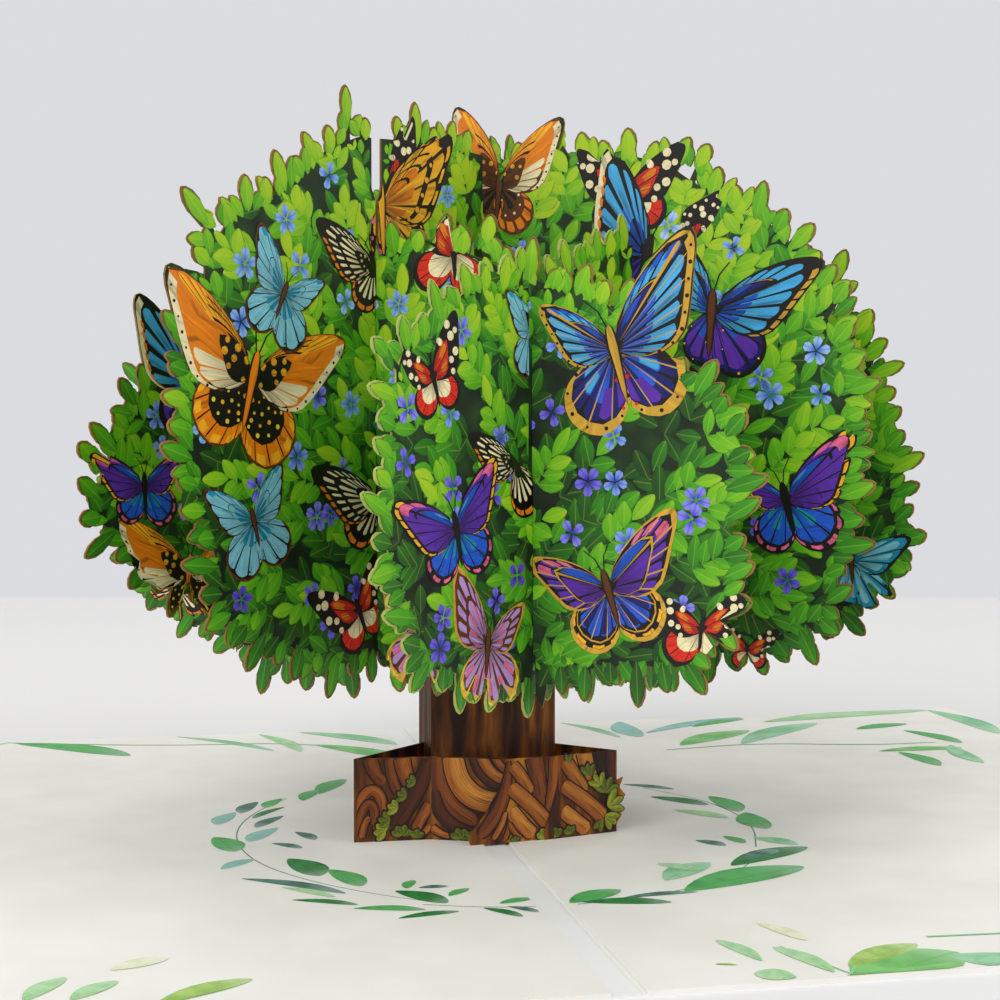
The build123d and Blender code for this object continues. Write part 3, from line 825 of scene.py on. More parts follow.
@dataclass
class CrownSheet:
    """The geometry of one crown sheet, read from its solid."""

    node: Object
    family: Family
    turn: float = 39.0
    spacing: float = 30.7 * MM
    meeting: float = 68.0 * MM
    paper: float = 0.4 * MM
    slot_half: float = 0.32 * MM
    mouth_half: float = 1.25 * MM
    lead_half: float = 0.8 * MM
    hidden_leaf: Point = (4.6 * MM, 2.8 * MM)

    UNEVEN = 0.06 * MM  # how far a die-cut leaf's two shoulders may differ
    SHOULDERS = (1.5 * MM, 5 * MM)
    WIDTHS = (2 * MM, 4.2 * MM)
    SLIMNESS = 0.55  # a tip's shortest shoulder, as a share of the leaf's width
    SLOT_CLEARANCE = 2.5 * MM
    HIDDEN_SIDES = (0.3 * MM, 1.0 * MM, 6.0 * MM)  # shortest short side, shortest and longest long side
    HIDDEN_TIPS = (0.1, 0.96)  # cosines of the widest and the sharpest tip

    def __post_init__(self) -> None:
        """Work out the plane, the outline and what follows from them."""
        angle = radians(self.turn * self.family.value)
        self.along = Vector((cos(angle), sin(angle), 0.0))
        self.outward = Vector((sin(angle), -cos(angle), 0.0))
        corners = [vertex.co for vertex in self.node.data.vertices]
        offset = sum(corner.dot(self.outward) for corner in corners) / len(corners)
        self.foot = self.outward * offset
        crossing = radians(2 * self.turn)
        row = round(offset * self.family.value / (self.spacing * sin(crossing)))
        self.crossings = [(row * cos(crossing) + column) * self.spacing for column in (-1, 0, 1)]
        self.outline = self._outline()
        self.leaves = self._edge_leaves()
        self.slots = self._slots()

    def plane(self, side: Side) -> PrintPlane:
        """The print plane of one of the sheet's faces."""
        return PrintPlane(self.foot, self.along, UP, self.outward * side.value, self.paper / 2, side is Side.BACK)

    def pad(self, side: Side, ink: type[Finish]) -> PrintPad:
        """An empty pad on one of the sheet's faces, cut by its slots."""
        return PrintPad(self.plane(side), ink, self.slots)

    def _outline(self) -> np.ndarray:
        """The front face's boundary in sheet coordinates, anticlockwise."""
        body = bmesh.new()
        body.from_mesh(self.node.data)
        bmesh.ops.remove_doubles(body, verts=body.verts, dist=0.002 * MM)
        away = [face for face in body.faces if face.normal.dot(self.outward) < 0.99]
        bmesh.ops.delete(body, geom=away, context="FACES_ONLY")
        loose = [edge for edge in body.edges if not edge.link_faces]
        bmesh.ops.delete(body, geom=loose, context="EDGES")
        rim = {vertex: [] for vertex in body.verts}
        for edge in body.edges:
            if len(edge.link_faces) == 1:
                for vertex in edge.verts:
                    rim[vertex].append(edge.other_vert(vertex))
        start = next(vertex for vertex, near in rim.items() if len(near) == 2)
        loop, before = [start], None
        while True:
            here = loop[-1]
            ahead = next(vertex for vertex in rim[here] if vertex is not before)
            if ahead is start:
                break
            before = here
            loop.append(ahead)
        points = np.array([[vertex.co.dot(self.along), vertex.co.z] for vertex in loop])
        body.free()
        return points if signed_area(points) > 0 else points[::-1]

    def _edge_leaves(self) -> list[EdgeLeaf]:
        """Find the die-cut leaves: a sharp tip between two even shoulders."""
        found = []
        points = self.outline
        count = len(points)
        for index in range(count):
            root_a, side_a, tip, side_b, root_b = (points[(index + step) % count] for step in (-2, -1, 0, 1, 2))
            one, two = np.linalg.norm(side_a - tip), np.linalg.norm(side_b - tip)
            wide = np.linalg.norm(side_a - side_b)
            if abs(one - two) > self.UNEVEN or not within(one, self.SHOULDERS) or not within(wide, self.WIDTHS):
                found += self._half_hidden(side_a, tip, side_b)
                continue
            if np.linalg.norm(root_a - root_b) > wide or one < self.SLIMNESS * wide:
                continue
            root = (root_a + root_b) / 2
            run = tip - root
            if np.dot(run, (side_a + side_b) / 2 - root) <= 0:
                continue
            found.append(EdgeLeaf(tuple(root), atan2(run[1], run[0]), float(np.linalg.norm(run)), float(wide)))
        return found

    def _half_hidden(self, side_a: np.ndarray, tip: np.ndarray, side_b: np.ndarray) -> list[EdgeLeaf]:
        """A die-cut leaf that comes out from behind a proud wing, if this tip is one.

        Args:
            side_a: The outline's point before the tip.
            tip: The tip.
            side_b: The outline's point after it.

        Returns:
            The leaf, or nothing.
        """
        one, two = side_a - tip, side_b - tip
        first, second = np.linalg.norm(one), np.linalg.norm(two)
        near = min(abs(tip[0] - along) for along in self.crossings)
        least, *long_side = self.HIDDEN_SIDES
        if near < self.SLOT_CLEARANCE or min(first, second) < least or not within(max(first, second), long_side):
            return []
        turn = one[0] * two[1] - one[1] * two[0]
        closeness = one @ two / (first * second)
        if turn > 0 or not within(closeness, self.HIDDEN_TIPS):
            return []
        back = one / first + two / second
        back /= np.linalg.norm(back)
        length, widest = self.hidden_leaf
        wide = min(widest, 1.4 * length * sqrt((1 - closeness) / (1 + closeness)))
        return [EdgeLeaf(tuple(tip + back * length), atan2(-back[1], -back[0]), length, float(wide))]

    def _slots(self) -> list[Slot]:
        """The three slots of the sheet."""
        upward = self.family is Family.A
        half = self.mouth_half if upward else self.lead_half
        slots = []
        for along in self.crossings:
            near = self.outline[np.abs(np.abs(self.outline[:, 0] - along) - half) < 0.03 * MM]
            if upward:
                shoulder = float(near[:, 1].min()) - 2 * MM if len(near) else float(self.outline[:, 1].max())
            else:
                shoulder = float(near[:, 1].max()) + 3 * MM if len(near) else float(self.outline[:, 1].min())
            slots.append(Slot(along, self.slot_half, self.meeting, half + 0.03 * MM, shoulder, upward))
        return slots

    def holds(self, points: np.ndarray) -> np.ndarray:
        """Say which points lie on the sheet.

        Args:
            points: Places in sheet coordinates.

        Returns:
            A truth value for each place.
        """
        one = self.outline[:, None, :]
        rise = np.roll(self.outline, -1, axis=0)[:, None, :] - one
        height = points[None, :, 1] - one[:, :, 1]
        crosses = (height < 0) != (height < rise[:, :, 1])
        slope = rise[:, :, 0] / np.where(rise[:, :, 1] == 0, 1.0, rise[:, :, 1])
        beyond = points[None, :, 0] < one[:, :, 0] + height * slope
        return np.count_nonzero(crosses & beyond, axis=0) % 2 == 1

    def drawn_in(self, points: np.ndarray, root: np.ndarray) -> np.ndarray:
        """Draw the points that lie off the sheet back towards a place on it.

        Args:
            points: Places in sheet coordinates.
            root: The place they are drawn to.

        Returns:
            The places, all on the sheet where the way to the root crosses it.
        """
        kept = points.copy()
        away = np.flatnonzero(~self.holds(points))
        for share in np.linspace(0.97, 0.1, 30):
            if not len(away):
                break
            kept[away] = root + (points[away] - root) * share
            away = away[~self.holds(kept[away])]
        return kept

    def edge_distance(self, points: np.ndarray) -> np.ndarray:
        """Distance of each place from the die-cut edge, ignoring the inner slots."""
        ahead = np.roll(self.outline, -1, axis=0)
        best = np.full(len(points), np.inf)
        for one, two in zip(self.outline, ahead):
            run = two - one
            square = float(run @ run)
            if square == 0:
                continue
            share = np.clip(((points - one) @ run) / square, 0, 1)
            gap = points - (one + share[:, None] * run)
            best = np.minimum(best, np.hypot(gap[:, 0], gap[:, 1]))
        return best


@dataclass(frozen=True)
class SprigLayer:
    """One layer of printed sprigs: how far apart they stand, their leaves and their light."""

    spacing: float
    pairs: int
    lengths: Point
    widths: Point
    step: float
    wander: float
    share: float = 1.0


@dataclass
class FacePrint:
    """A print on one face of a crown sheet."""

    sheet: CrownSheet
    side: Side

    def named(self, what: str) -> str:
        """The name of what is printed on this face."""
        return f"{self.sheet.node.name}_{what}_{self.side.name.lower()}"


@dataclass
class LeafPrint(FacePrint):
    """The printed foliage of one face: layers of sprigs that grow outwards, and the edge's own leaves."""

    seed: int
    layer_lift: float = 0.016 * MM
    sprig_lift: float = 0.0030 * MM
    leaf_lift: float = 0.0004 * MM
    base_lift: float = 0.012 * MM
    low: float = 0.026
    high: float = 0.136
    middle: float = 0.045
    turn_height: float = 0.040
    sunk: float = 0.6 * MM

    SCALES = (0.36, 0.55, 0.78, 1.0)
    LAYERS = (
        SprigLayer(6.0 * MM, 1, (4.4, 6.2), (2.4, 3.2), -3.8, 60.0, 0.80),
        SprigLayer(7.8 * MM, 2, (4.6, 6.4), (2.4, 3.1), -1.5, 32.0, 0.74),
        SprigLayer(9.4 * MM, 3, (4.4, 6.2), (2.3, 3.0), 0.8, 22.0, 0.78),
    )

    def tone(self, height: float, step: float, random: Random) -> Cell:
        """Choose an atlas cell for a leaf.

        Args:
            height: The leaf's height in the crown.
            step: Steps lighter or darker than the crown at that height.
            random: The face's random numbers.

        Returns:
            Column and row.
        """
        share = min(max((height - self.low) / (self.high - self.low), 0.0), 1.0)
        row = 2.0 + 5.0 * share ** 1.1 + step + random.uniform(-0.6, 0.6)
        return random.randrange(LeafInk.COLUMNS), min(max(round(row), 0), LeafInk.ROWS - 1)

    def growth(self, x: float, y: float) -> float:
        """The direction in which sprigs grow at a place: outwards, and mostly up."""
        rise = min((y - self.middle) / self.turn_height, 1.3)
        return atan2(rise, x / 0.052)

    def places(self, layer: SprigLayer, random: Random) -> list[tuple[float, float, int]]:
        """Where the sprigs of a layer stand, with a number that differs between neighbours."""
        low = self.sheet.outline.min(axis=0)
        high = self.sheet.outline.max(axis=0)
        step = layer.spacing
        found = []
        for row in range(ceil((high[1] - low[1]) / step * 1.16) + 1):
            for column in range(ceil((high[0] - low[0]) / step) + 2):
                x = low[0] + (column - 0.5 + 0.5 * (row % 2) + random.uniform(-0.3, 0.3)) * step
                y = low[1] + (row * 0.866 + random.uniform(-0.3, 0.3)) * step
                if random.random() < layer.share:
                    found.append((x, y, (column + 3 * (row % 2) + 2 * row) % 5))
        kept = self.sheet.holds(np.array([place[:2] for place in found]))
        return [place for place, keep in zip(found, kept) if keep]

    def build(self, ink: Material) -> Object:
        """Press every leaf of this face.

        Args:
            ink: The leaf ink.

        Returns:
            The printed foliage.
        """
        random = Random(self.seed)
        pad = self.sheet.pad(self.side, LeafInk)
        shape = leaf_shape()
        wanted = []
        for level, layer in enumerate(self.LAYERS):
            for x, y, number in self.places(layer, random):
                heading = self.growth(x, y) + radians(random.uniform(-layer.wander, layer.wander))
                lift = self.base_lift + level * self.layer_lift + number * self.sprig_lift
                wanted += self._sprig(layer, (x, y), heading, lift, random)
        self._press_fitting(pad, shape, wanted)
        self._edge(pad, shape, random)
        return pad.build(self.named("leaves"), ink, "crown_print")

    def _sprig(self, layer: SprigLayer, foot: Point, heading: float, lift: float, random: Random) -> list[tuple]:
        """Pairs of leaves along a stem, and one at its end."""
        leaves = []
        run = 0.0
        for pair in range(layer.pairs):
            for hand in (1, -1):
                turn = heading + hand * radians(random.uniform(34, 62))
                length = random.uniform(*layer.lengths) * MM * (1.0 - 0.08 * pair)
                root = onward(foot, heading, run)
                cell = self.tone(root[1], layer.step - 0.7 + 0.35 * pair, random)
                leaves.append((root, turn, length, random.uniform(*layer.widths) * MM, lift, cell))
                lift += self.leaf_lift
            run += random.uniform(1.5, 2.1) * MM
        root = onward(foot, heading, run)
        turn = heading + radians(random.uniform(-12, 12))
        length = random.uniform(*layer.lengths) * MM
        cell = self.tone(root[1], layer.step + 0.8, random)
        leaves.append((root, turn, length, random.uniform(*layer.widths) * MM, lift, cell))
        return leaves

    def _press_fitting(self, pad: PrintPad, shape: FlatShape, wanted: list[tuple]) -> None:
        """Press the leaves that lie on the sheet, the ones near its edge a little smaller."""
        roots = np.array([leaf[0] for leaf in wanted])
        runs = np.array([[cos(leaf[1]) * leaf[2], sin(leaf[1]) * leaf[2]] for leaf in wanted])
        sides = np.array([[-sin(leaf[1]) * leaf[3] / 2, cos(leaf[1]) * leaf[3] / 2] for leaf in wanted])
        size = np.zeros(len(wanted))
        for scale in self.SCALES:
            fits = self.sheet.holds(roots + runs * 1.05 * scale)
            for share in (-1.0, 1.0):
                fits &= self.sheet.holds(roots + (runs * 0.6 + sides * share * 1.1) * scale)
            size = np.where(fits, scale, size)
        for (root, heading, length, width, lift, cell), scale in zip(wanted, size):
            if scale > 0:
                pad.press(shape, root, heading, (length * scale, width * scale), lift, cell)

    def _edge(self, pad: PrintPad, shape: FlatShape, random: Random) -> None:
        """Print the leaves of the die-cut edge, each inside its paper."""
        for index, leaf in enumerate(self.sheet.leaves):
            cell = self.tone(leaf.root[1], random.uniform(-1.4, 0.9), random)
            lift = self.base_lift + 3 * self.layer_lift + (index % 3) * self.leaf_lift
            root = onward(leaf.root, leaf.heading, -self.sunk)
            pad.press(shape, root, leaf.heading, (leaf.length + 0.35 * MM, leaf.width * 0.95), lift, cell)


@dataclass
class EdgeLeaves:
    """Rounded paper leaves on and between the leaves of the die-cut edge, as thick as the sheet."""

    sheet: CrownSheet
    seed: int
    lengths: Point = (3.4, 5.6)
    widths: Point = (2.2, 3.0)
    splay: Point = (14.0, 44.0)
    paper: float = 0.385 * MM
    widest_gap: float = 7 * MM
    sunk: float = 0.8 * MM

    def build(self, paper: Material, ink: Material) -> list[Object]:
        """Cut the leaves and print both their faces.

        Args:
            paper: The finish of the cut edges.
            ink: The leaf ink.

        Returns:
            The paper leaves and their two prints.
        """
        random = Random(self.seed)
        shape = leaf_shape()
        middle = PrintPlane(self.sheet.foot, self.sheet.along, UP, self.sheet.outward, 0.0)
        core = PrintPad(middle, PlainPaper, self.sheet.slots)
        prints = {side: self.sheet.pad(side, LeafInk) for side in Side}
        chooser = LeafPrint(self.sheet, Side.FRONT, self.seed)
        leaves = self.sheet.leaves
        number = 0
        for index, leaf in enumerate(leaves):
            core.press(shape, leaf.root, leaf.heading, (leaf.length * 1.03, leaf.width * 1.06), 0.0, (0, 0))
            after = leaves[(index + 1) % len(leaves)]
            if hypot(after.root[0] - leaf.root[0], after.root[1] - leaf.root[1]) > self.widest_gap:
                continue
            mean = atan2(sin(leaf.heading) + sin(after.heading), cos(leaf.heading) + cos(after.heading))
            for share, hand in ((0.35, random.choice((-1, 1))), (0.7, random.choice((-1, 1)))):
                heading = mean + hand * radians(random.uniform(*self.splay))
                length = random.uniform(*self.lengths) * MM
                width = random.uniform(*self.widths) * MM
                x = leaf.root[0] + (after.root[0] - leaf.root[0]) * share
                y = leaf.root[1] + (after.root[1] - leaf.root[1]) * share
                root = onward((x, y), mean, -self.sunk)
                core.press(shape, root, heading, (length, width), 0.0, (0, 0))
                cell = chooser.tone(root[1], random.uniform(-1.9, 0.4), random)
                lift = (0.046 + 0.0011 * (number % 5)) * MM
                number += 1
                for pad in prints.values():
                    pad.press(shape, root, heading, (length - 0.2 * MM, width * 0.92), lift, cell)
        name = self.sheet.node.name
        item = core.build(f"{name}_edge_leaves", paper, "crown_print")
        thicken(item, self.paper)
        printed = [
            pad.build(f"{name}_edge_print_{side.name.lower()}", ink, "crown_print") for side, pad in prints.items()
        ]
        return [item, *printed]


@dataclass
class GroundPrint(FacePrint):
    """The dark ground of one face, drawn back from the cut edge so that a margin of paper shows."""

    margin: float = 0.22 * MM
    lift: float = 0.006 * MM

    def build(self, ink: Material) -> Object:
        """Copy the sheet's face, inset it and drop the rim.

        Args:
            ink: The ground ink.

        Returns:
            The printed ground.
        """
        plane = self.sheet.plane(self.side)
        mesh = bpy.data.meshes.new("ground")
        flat = self.sheet.outline
        order = list(range(len(flat)))
        if plane.mirrored:
            order.reverse()
        mesh.from_pydata(plane.to_space(flat, self.lift).tolist(), [], [order])
        item = placed(self.named("ground"), mesh)
        make_active(item)
        bpy.ops.object.mode_set(mode="EDIT")
        bpy.ops.mesh.select_all(action="SELECT")
        bpy.ops.mesh.inset(thickness=self.margin, use_boundary=True, use_even_offset=True)
        bpy.ops.mesh.select_all(action="INVERT")
        bpy.ops.mesh.delete(type="FACE")
        bpy.ops.mesh.select_all(action="SELECT")
        bpy.ops.mesh.quads_convert_to_tris(ngon_method="BEAUTY")
        bpy.ops.object.mode_set(mode="OBJECT")
        item.data.materials.append(ink)
        return adopt(item)


@dataclass
class FlowerPrint(FacePrint):
    """Small flowers scattered on one face."""

    seed: int
    spacing: float = 10.2 * MM
    margin: float = 2.6 * MM
    left_out: float = 0.18
    sizes: Point = (2.1, 2.7)
    lift: float = 0.075 * MM

    PETAL = ((0.08, 0.5), (0.42, 0.26), (0.76, 0.15), (1.0, 0.33), (1.0, 0.67), (0.76, 0.85), (0.42, 0.74))

    def build(self, ink: Material) -> Object:
        """Press the flowers.

        Args:
            ink: The petal ink.

        Returns:
            The printed flowers.
        """
        random = Random(self.seed)
        shapes = (flower_shape(4), flower_shape(5))
        pad = self.sheet.pad(self.side, PetalInk)
        low, high = self.sheet.outline.min(axis=0), self.sheet.outline.max(axis=0)
        places = []
        for row in range(ceil((high[1] - low[1]) / self.spacing) + 1):
            for column in range(ceil((high[0] - low[0]) / self.spacing) + 1):
                places.append((
                    low[0] + (column + random.uniform(-0.4, 0.4)) * self.spacing,
                    low[1] + (row + random.uniform(-0.4, 0.4)) * self.spacing,
                ))
        flat = np.array(places)
        kept = self.sheet.holds(flat) & (self.sheet.edge_distance(flat) > self.margin)
        for index, (place, keep) in enumerate(zip(places, kept)):
            if not keep or random.random() < self.left_out:
                continue
            shape = shapes[random.randrange(2)]
            local = np.tile(self.PETAL, (len(shape.faces), 1))
            size = random.uniform(*self.sizes) * MM
            share = (place[1] - 30 * MM) / (100 * MM)
            column = round(7 - 7.5 * share + random.uniform(-1.6, 1.6))
            cell = (min(max(column, 0), PetalInk.COLUMNS - 1), 0)
            lift = self.lift + (index % 4) * 0.002 * MM
            pad.press(shape, place, random.uniform(0, tau), (size, size), lift, cell, local)
        return pad.build(self.named("flowers"), ink, "crown_print")


@dataclass(frozen=True)
class Panels:
    """Fields of one ink between a wing's veins, as shares of its edge and of its reach."""

    ink: WingColour
    start: float
    end: float
    near: float
    far: float
    count: int = 1
    gap: float = 0.0

    def shapes(self, wing: "WingOutline") -> list[np.ndarray]:
        """The fields' outlines in the wing's own shares."""
        found = []
        for index in range(self.count):
            step = (self.end - self.start) / self.count
            first = self.start + step * (index + self.gap / 2)
            last = self.start + step * (index + 1 - self.gap / 2)
            samples = np.linspace(first, last, 6 if self.count > 2 else 13)
            curve = 0.05 * min(1.0, 4.0 * (self.far - self.near))
            bulge = 1.0 - curve * np.linspace(-1, 1, len(samples)) ** 2
            outer = wing.edge(samples) * (self.far * bulge)[:, None]
            inner = wing.edge(samples[::-1]) * self.near
            found.append(np.concatenate([outer, inner]))
        return found


@dataclass(frozen=True)
class Spots:
    """A row of round spots along a wing's edge."""

    ink: WingColour
    start: float
    end: float
    reach: float
    count: int
    size: float

    def shapes(self, wing: "WingOutline") -> list[np.ndarray]:
        """The spots' outlines in the wing's own shares."""
        ring = np.array([(cos(tau * step / 8), sin(tau * step / 8)) for step in range(8)])
        centres = wing.edge(np.linspace(self.start, self.end, self.count)) * self.reach
        return [centre + ring * self.size * (1.0 + 0.35 * (index % 2)) for index, centre in enumerate(centres)]


@dataclass(frozen=True)
class WingOutline:
    """A wing's outline from its leading root round the tip to its trailing root."""

    corners: tuple[Point, ...]

    def smooth(self) -> np.ndarray:
        """The outline with its corners cut once, as the die cuts the proud wings."""
        return cut_corners(np.array(self.corners), 1)

    def edge(self, shares: np.ndarray) -> np.ndarray:
        """Places on the outline at shares of its length."""
        points = self.smooth()
        steps = np.hypot(*np.diff(points, axis=0).T)
        run = np.concatenate([[0.0], np.cumsum(steps)]) / steps.sum()
        return np.column_stack([np.interp(shares, run, points[:, axis]) for axis in (0, 1)])


FORE_WING = WingOutline((
    (0.14, 0.09), (0.40, 0.15), (0.66, 0.15), (0.90, 0.10), (1.02, 0.03), (0.97, -0.07),
    (0.80, -0.16), (0.58, -0.29), (0.38, -0.38), (0.16, -0.30), (0.0, -0.08),
))
HIND_WING = WingOutline((
    (0.0, 0.10), (0.28, 0.30), (0.62, 0.42), (0.90, 0.28), (1.0, 0.0), (0.93, -0.26), (0.66, -0.42), (0.30, -0.34),
    (0.0, -0.10),
))


@dataclass(frozen=True)
class WingStyle:
    """How one kind of butterfly is coloured: its rim, its body and the layers of its two wings."""

    rim: WingColour
    body: WingColour
    fore: tuple[Panels | Spots, ...]
    hind: tuple[Panels | Spots, ...]


class Kind(Enum):
    """The kinds of butterfly on the card."""

    SUNSET = WingStyle(
        BROWN, ORANGE,
        (
            Panels(BLACK, 0.02, 0.98, 0.04, 0.965), Panels(ORANGE, 0.05, 0.80, 0.40, 0.975),
            Panels(AMBER, 0.10, 0.42, 0.52, 0.94, 6, 0.35), Panels(BROWN, 0.06, 0.42, 0.60, 0.93, 9, 0.86),
            Panels(CREAM, 0.64, 0.95, 0.40, 0.84, 4, 0.10), Panels(CREAM, 0.43, 0.86, 0.88, 0.990),
            Panels(BLACK, 0.02, 0.98, 0.02, 0.38), Panels(BLACK, 0.04, 0.30, 0.30, 0.50),
            Panels(BLACK, 0.04, 0.38, 0.52, 0.57), Panels(BLACK, 0.06, 0.34, 0.68, 0.72),
            Panels(BLACK, 0.08, 0.30, 0.82, 0.85), Spots(AMBER, 0.10, 0.66, 0.35, 5, 0.022),
            Spots(AMBER, 0.16, 0.84, 0.23, 3, 0.020), Spots(BLACK, 0.46, 0.82, 0.935, 8, 0.009),
        ),
        (
            Panels(ORANGE, 0.03, 0.97, 0.56, 0.965), Panels(AMBER, 0.08, 0.92, 0.84, 0.95, 9, 0.45),
            Panels(BLACK, 0.06, 0.94, 0.70, 0.955, 10, 0.90), Panels(BLACK, 0.04, 0.96, 0.06, 0.73),
            Spots(YELLOW, 0.13, 0.89, 0.64, 9, 0.020), Spots(AMBER, 0.17, 0.87, 0.52, 8, 0.019),
            Spots(YELLOW, 0.20, 0.84, 0.40, 7, 0.017), Spots(AMBER, 0.26, 0.78, 0.27, 5, 0.015),
        ),
    )
    AZURE = WingStyle(
        BROWN, BROWN,
        (
            Panels(BLACK, 0.02, 0.98, 0.05, 0.955), Panels(GREY_BLUE, 0.03, 0.97, 0.08, 0.930, 8, 0.10),
            Panels(TEAL, 0.05, 0.95, 0.07, 0.40, 7, 0.26), Panels(TEAL, 0.08, 0.44, 0.80, 0.925, 4, 0.30),
            Panels(BLACK, 0.10, 0.60, 0.50, 0.515),
        ),
        (
            Panels(BLACK, 0.02, 0.98, 0.05, 0.955), Panels(GREY_BLUE, 0.04, 0.96, 0.10, 0.925, 7, 0.12),
            Panels(TEAL, 0.06, 0.94, 0.08, 0.44, 6, 0.34), Spots(BLACK, 0.16, 0.86, 0.84, 6, 0.013),
        ),
    )
    GILDED = WingStyle(
        GOLD, GOLD,
        (
            Panels(BLACK, 0.02, 0.98, 0.04, 0.965), Panels(NAVY, 0.05, 0.40, 0.10, 0.57),
            Panels(COBALT, 0.16, 0.34, 0.28, 0.53), Panels(SKY, 0.10, 0.43, 0.615, 0.86, 4, 0.26),
            Panels(COBALT, 0.12, 0.44, 0.76, 0.90, 4, 0.34), Panels(SKY, 0.43, 0.97, 0.42, 0.86, 6, 0.24),
            Panels(COBALT, 0.44, 0.97, 0.12, 0.52, 6, 0.30), Panels(GOLD, 0.05, 0.40, 0.575, 0.595),
            Panels(GOLD, 0.40, 0.42, 0.08, 0.90), Panels(GOLD, 0.42, 0.98, 0.08, 0.90, 6, 0.93),
            Panels(GOLD, 0.43, 0.88, 0.90, 0.985), Spots(BLACK, 0.46, 0.86, 0.945, 8, 0.012),
        ),
        (
            Panels(BLACK, 0.03, 0.97, 0.05, 0.86), Panels(NAVY, 0.05, 0.95, 0.12, 0.84, 7, 0.14),
            Panels(COBALT, 0.05, 0.60, 0.16, 0.62, 4, 0.34), Panels(SKY, 0.05, 0.46, 0.34, 0.60, 3, 0.44),
            Panels(VIOLET, 0.52, 0.92, 0.44, 0.80, 3, 0.36), Panels(GOLD, 0.05, 0.95, 0.08, 0.88, 7, 0.93),
            Spots(BLACK, 0.10, 0.90, 0.92, 9, 0.018), Spots(RED, 0.72, 0.88, 0.86, 2, 0.020),
        ),
    )
    TWILIGHT = WingStyle(
        BLACK, BROWN,
        (
            Panels(NAVY, 0.05, 0.40, 0.10, 0.56), Panels(COBALT, 0.08, 0.30, 0.26, 0.54),
            Panels(SKY, 0.10, 0.43, 0.60, 0.86, 4, 0.26), Panels(SKY, 0.43, 0.97, 0.30, 0.84, 6, 0.22),
            Panels(COBALT, 0.44, 0.97, 0.12, 0.44, 6, 0.30), Panels(GOLD, 0.44, 0.84, 0.90, 0.965, 8, 0.20),
            Panels(GOLD, 0.05, 0.40, 0.57, 0.585),
        ),
        (
            Panels(NAVY, 0.05, 0.95, 0.10, 0.92), Panels(VIOLET, 0.08, 0.92, 0.28, 0.86, 6, 0.24),
            Panels(COBALT, 0.06, 0.50, 0.14, 0.50, 3, 0.34), Panels(BLACK, 0.05, 0.95, 0.10, 0.90, 7, 0.90),
            Spots(AMBER, 0.16, 0.86, 0.92, 6, 0.014),
        ),
    )
    ROYAL = WingStyle(
        BLACK, BLACK,
        (
            Panels(VIOLET, 0.05, 0.97, 0.08, 0.84), Panels(COBALT, 0.05, 0.40, 0.12, 0.61),
            Panels(SKY, 0.10, 0.26, 0.40, 0.55), Panels(BLACK, 0.40, 0.42, 0.10, 0.84),
            Panels(BLACK, 0.06, 0.46, 0.62, 0.66), Panels(VIOLET, 0.28, 0.92, 0.68, 0.84, 5, 0.18),
            Panels(PINK, 0.24, 0.46, 0.74, 0.88, 2, 0.14), Panels(BLACK, 0.44, 0.97, 0.10, 0.84, 5, 0.88),
            Panels(AMBER, 0.36, 0.90, 0.89, 0.955, 8, 0.20),
        ),
        (
            Panels(COBALT, 0.05, 0.95, 0.10, 0.82), Panels(TEAL, 0.20, 0.80, 0.20, 0.55, 3, 0.50),
            Panels(BLACK, 0.05, 0.95, 0.10, 0.84, 7, 0.88), Panels(PINK, 0.12, 0.80, 0.87, 0.94, 6, 0.35),
        ),
    )
    GILT_ROYAL = WingStyle(
        GOLD, BROWN,
        (
            Panels(BLACK, 0.04, 0.96, 0.06, 0.93), Panels(COBALT, 0.06, 0.42, 0.14, 0.62),
            Panels(VIOLET, 0.46, 0.96, 0.14, 0.62, 2, 0.10), Panels(VIOLET, 0.22, 0.92, 0.66, 0.88, 7, 0.20),
            Panels(PINK, 0.22, 0.50, 0.70, 0.87, 3, 0.30), Panels(GOLD, 0.06, 0.94, 0.63, 0.66),
            Panels(GOLD, 0.43, 0.45, 0.08, 0.64), Panels(GOLD, 0.22, 0.94, 0.64, 0.94, 7, 0.88),
        ),
        (
            Panels(BLACK, 0.04, 0.96, 0.06, 0.92), Panels(COBALT, 0.06, 0.94, 0.16, 0.74, 7, 0.16),
            Panels(NAVY, 0.10, 0.90, 0.30, 0.70, 4, 0.60), Panels(GOLD, 0.06, 0.94, 0.08, 0.80, 7, 0.93),
            Panels(GOLD, 0.06, 0.94, 0.80, 0.825), Panels(AMBER, 0.10, 0.90, 0.86, 0.91, 6, 0.40),
        ),
    )
    HARLEQUIN = WingStyle(
        BLACK, BLACK,
        (
            Panels(RED, 0.06, 0.96, 0.12, 0.56), Panels(ORANGE, 0.30, 0.80, 0.30, 0.50, 2, 0.40),
            Panels(BLACK, 0.50, 0.53, 0.12, 0.56), Spots(CREAM, 0.20, 0.80, 0.84, 5, 0.045),
            Spots(CREAM, 0.26, 0.68, 0.68, 3, 0.050),
        ),
        (
            Panels(RED, 0.04, 0.96, 0.50, 0.88), Panels(CREAM, 0.05, 0.95, 0.08, 0.62, 3, 0.05),
            Panels(BLACK, 0.10, 0.90, 0.64, 0.88, 5, 0.93),
        ),
    )
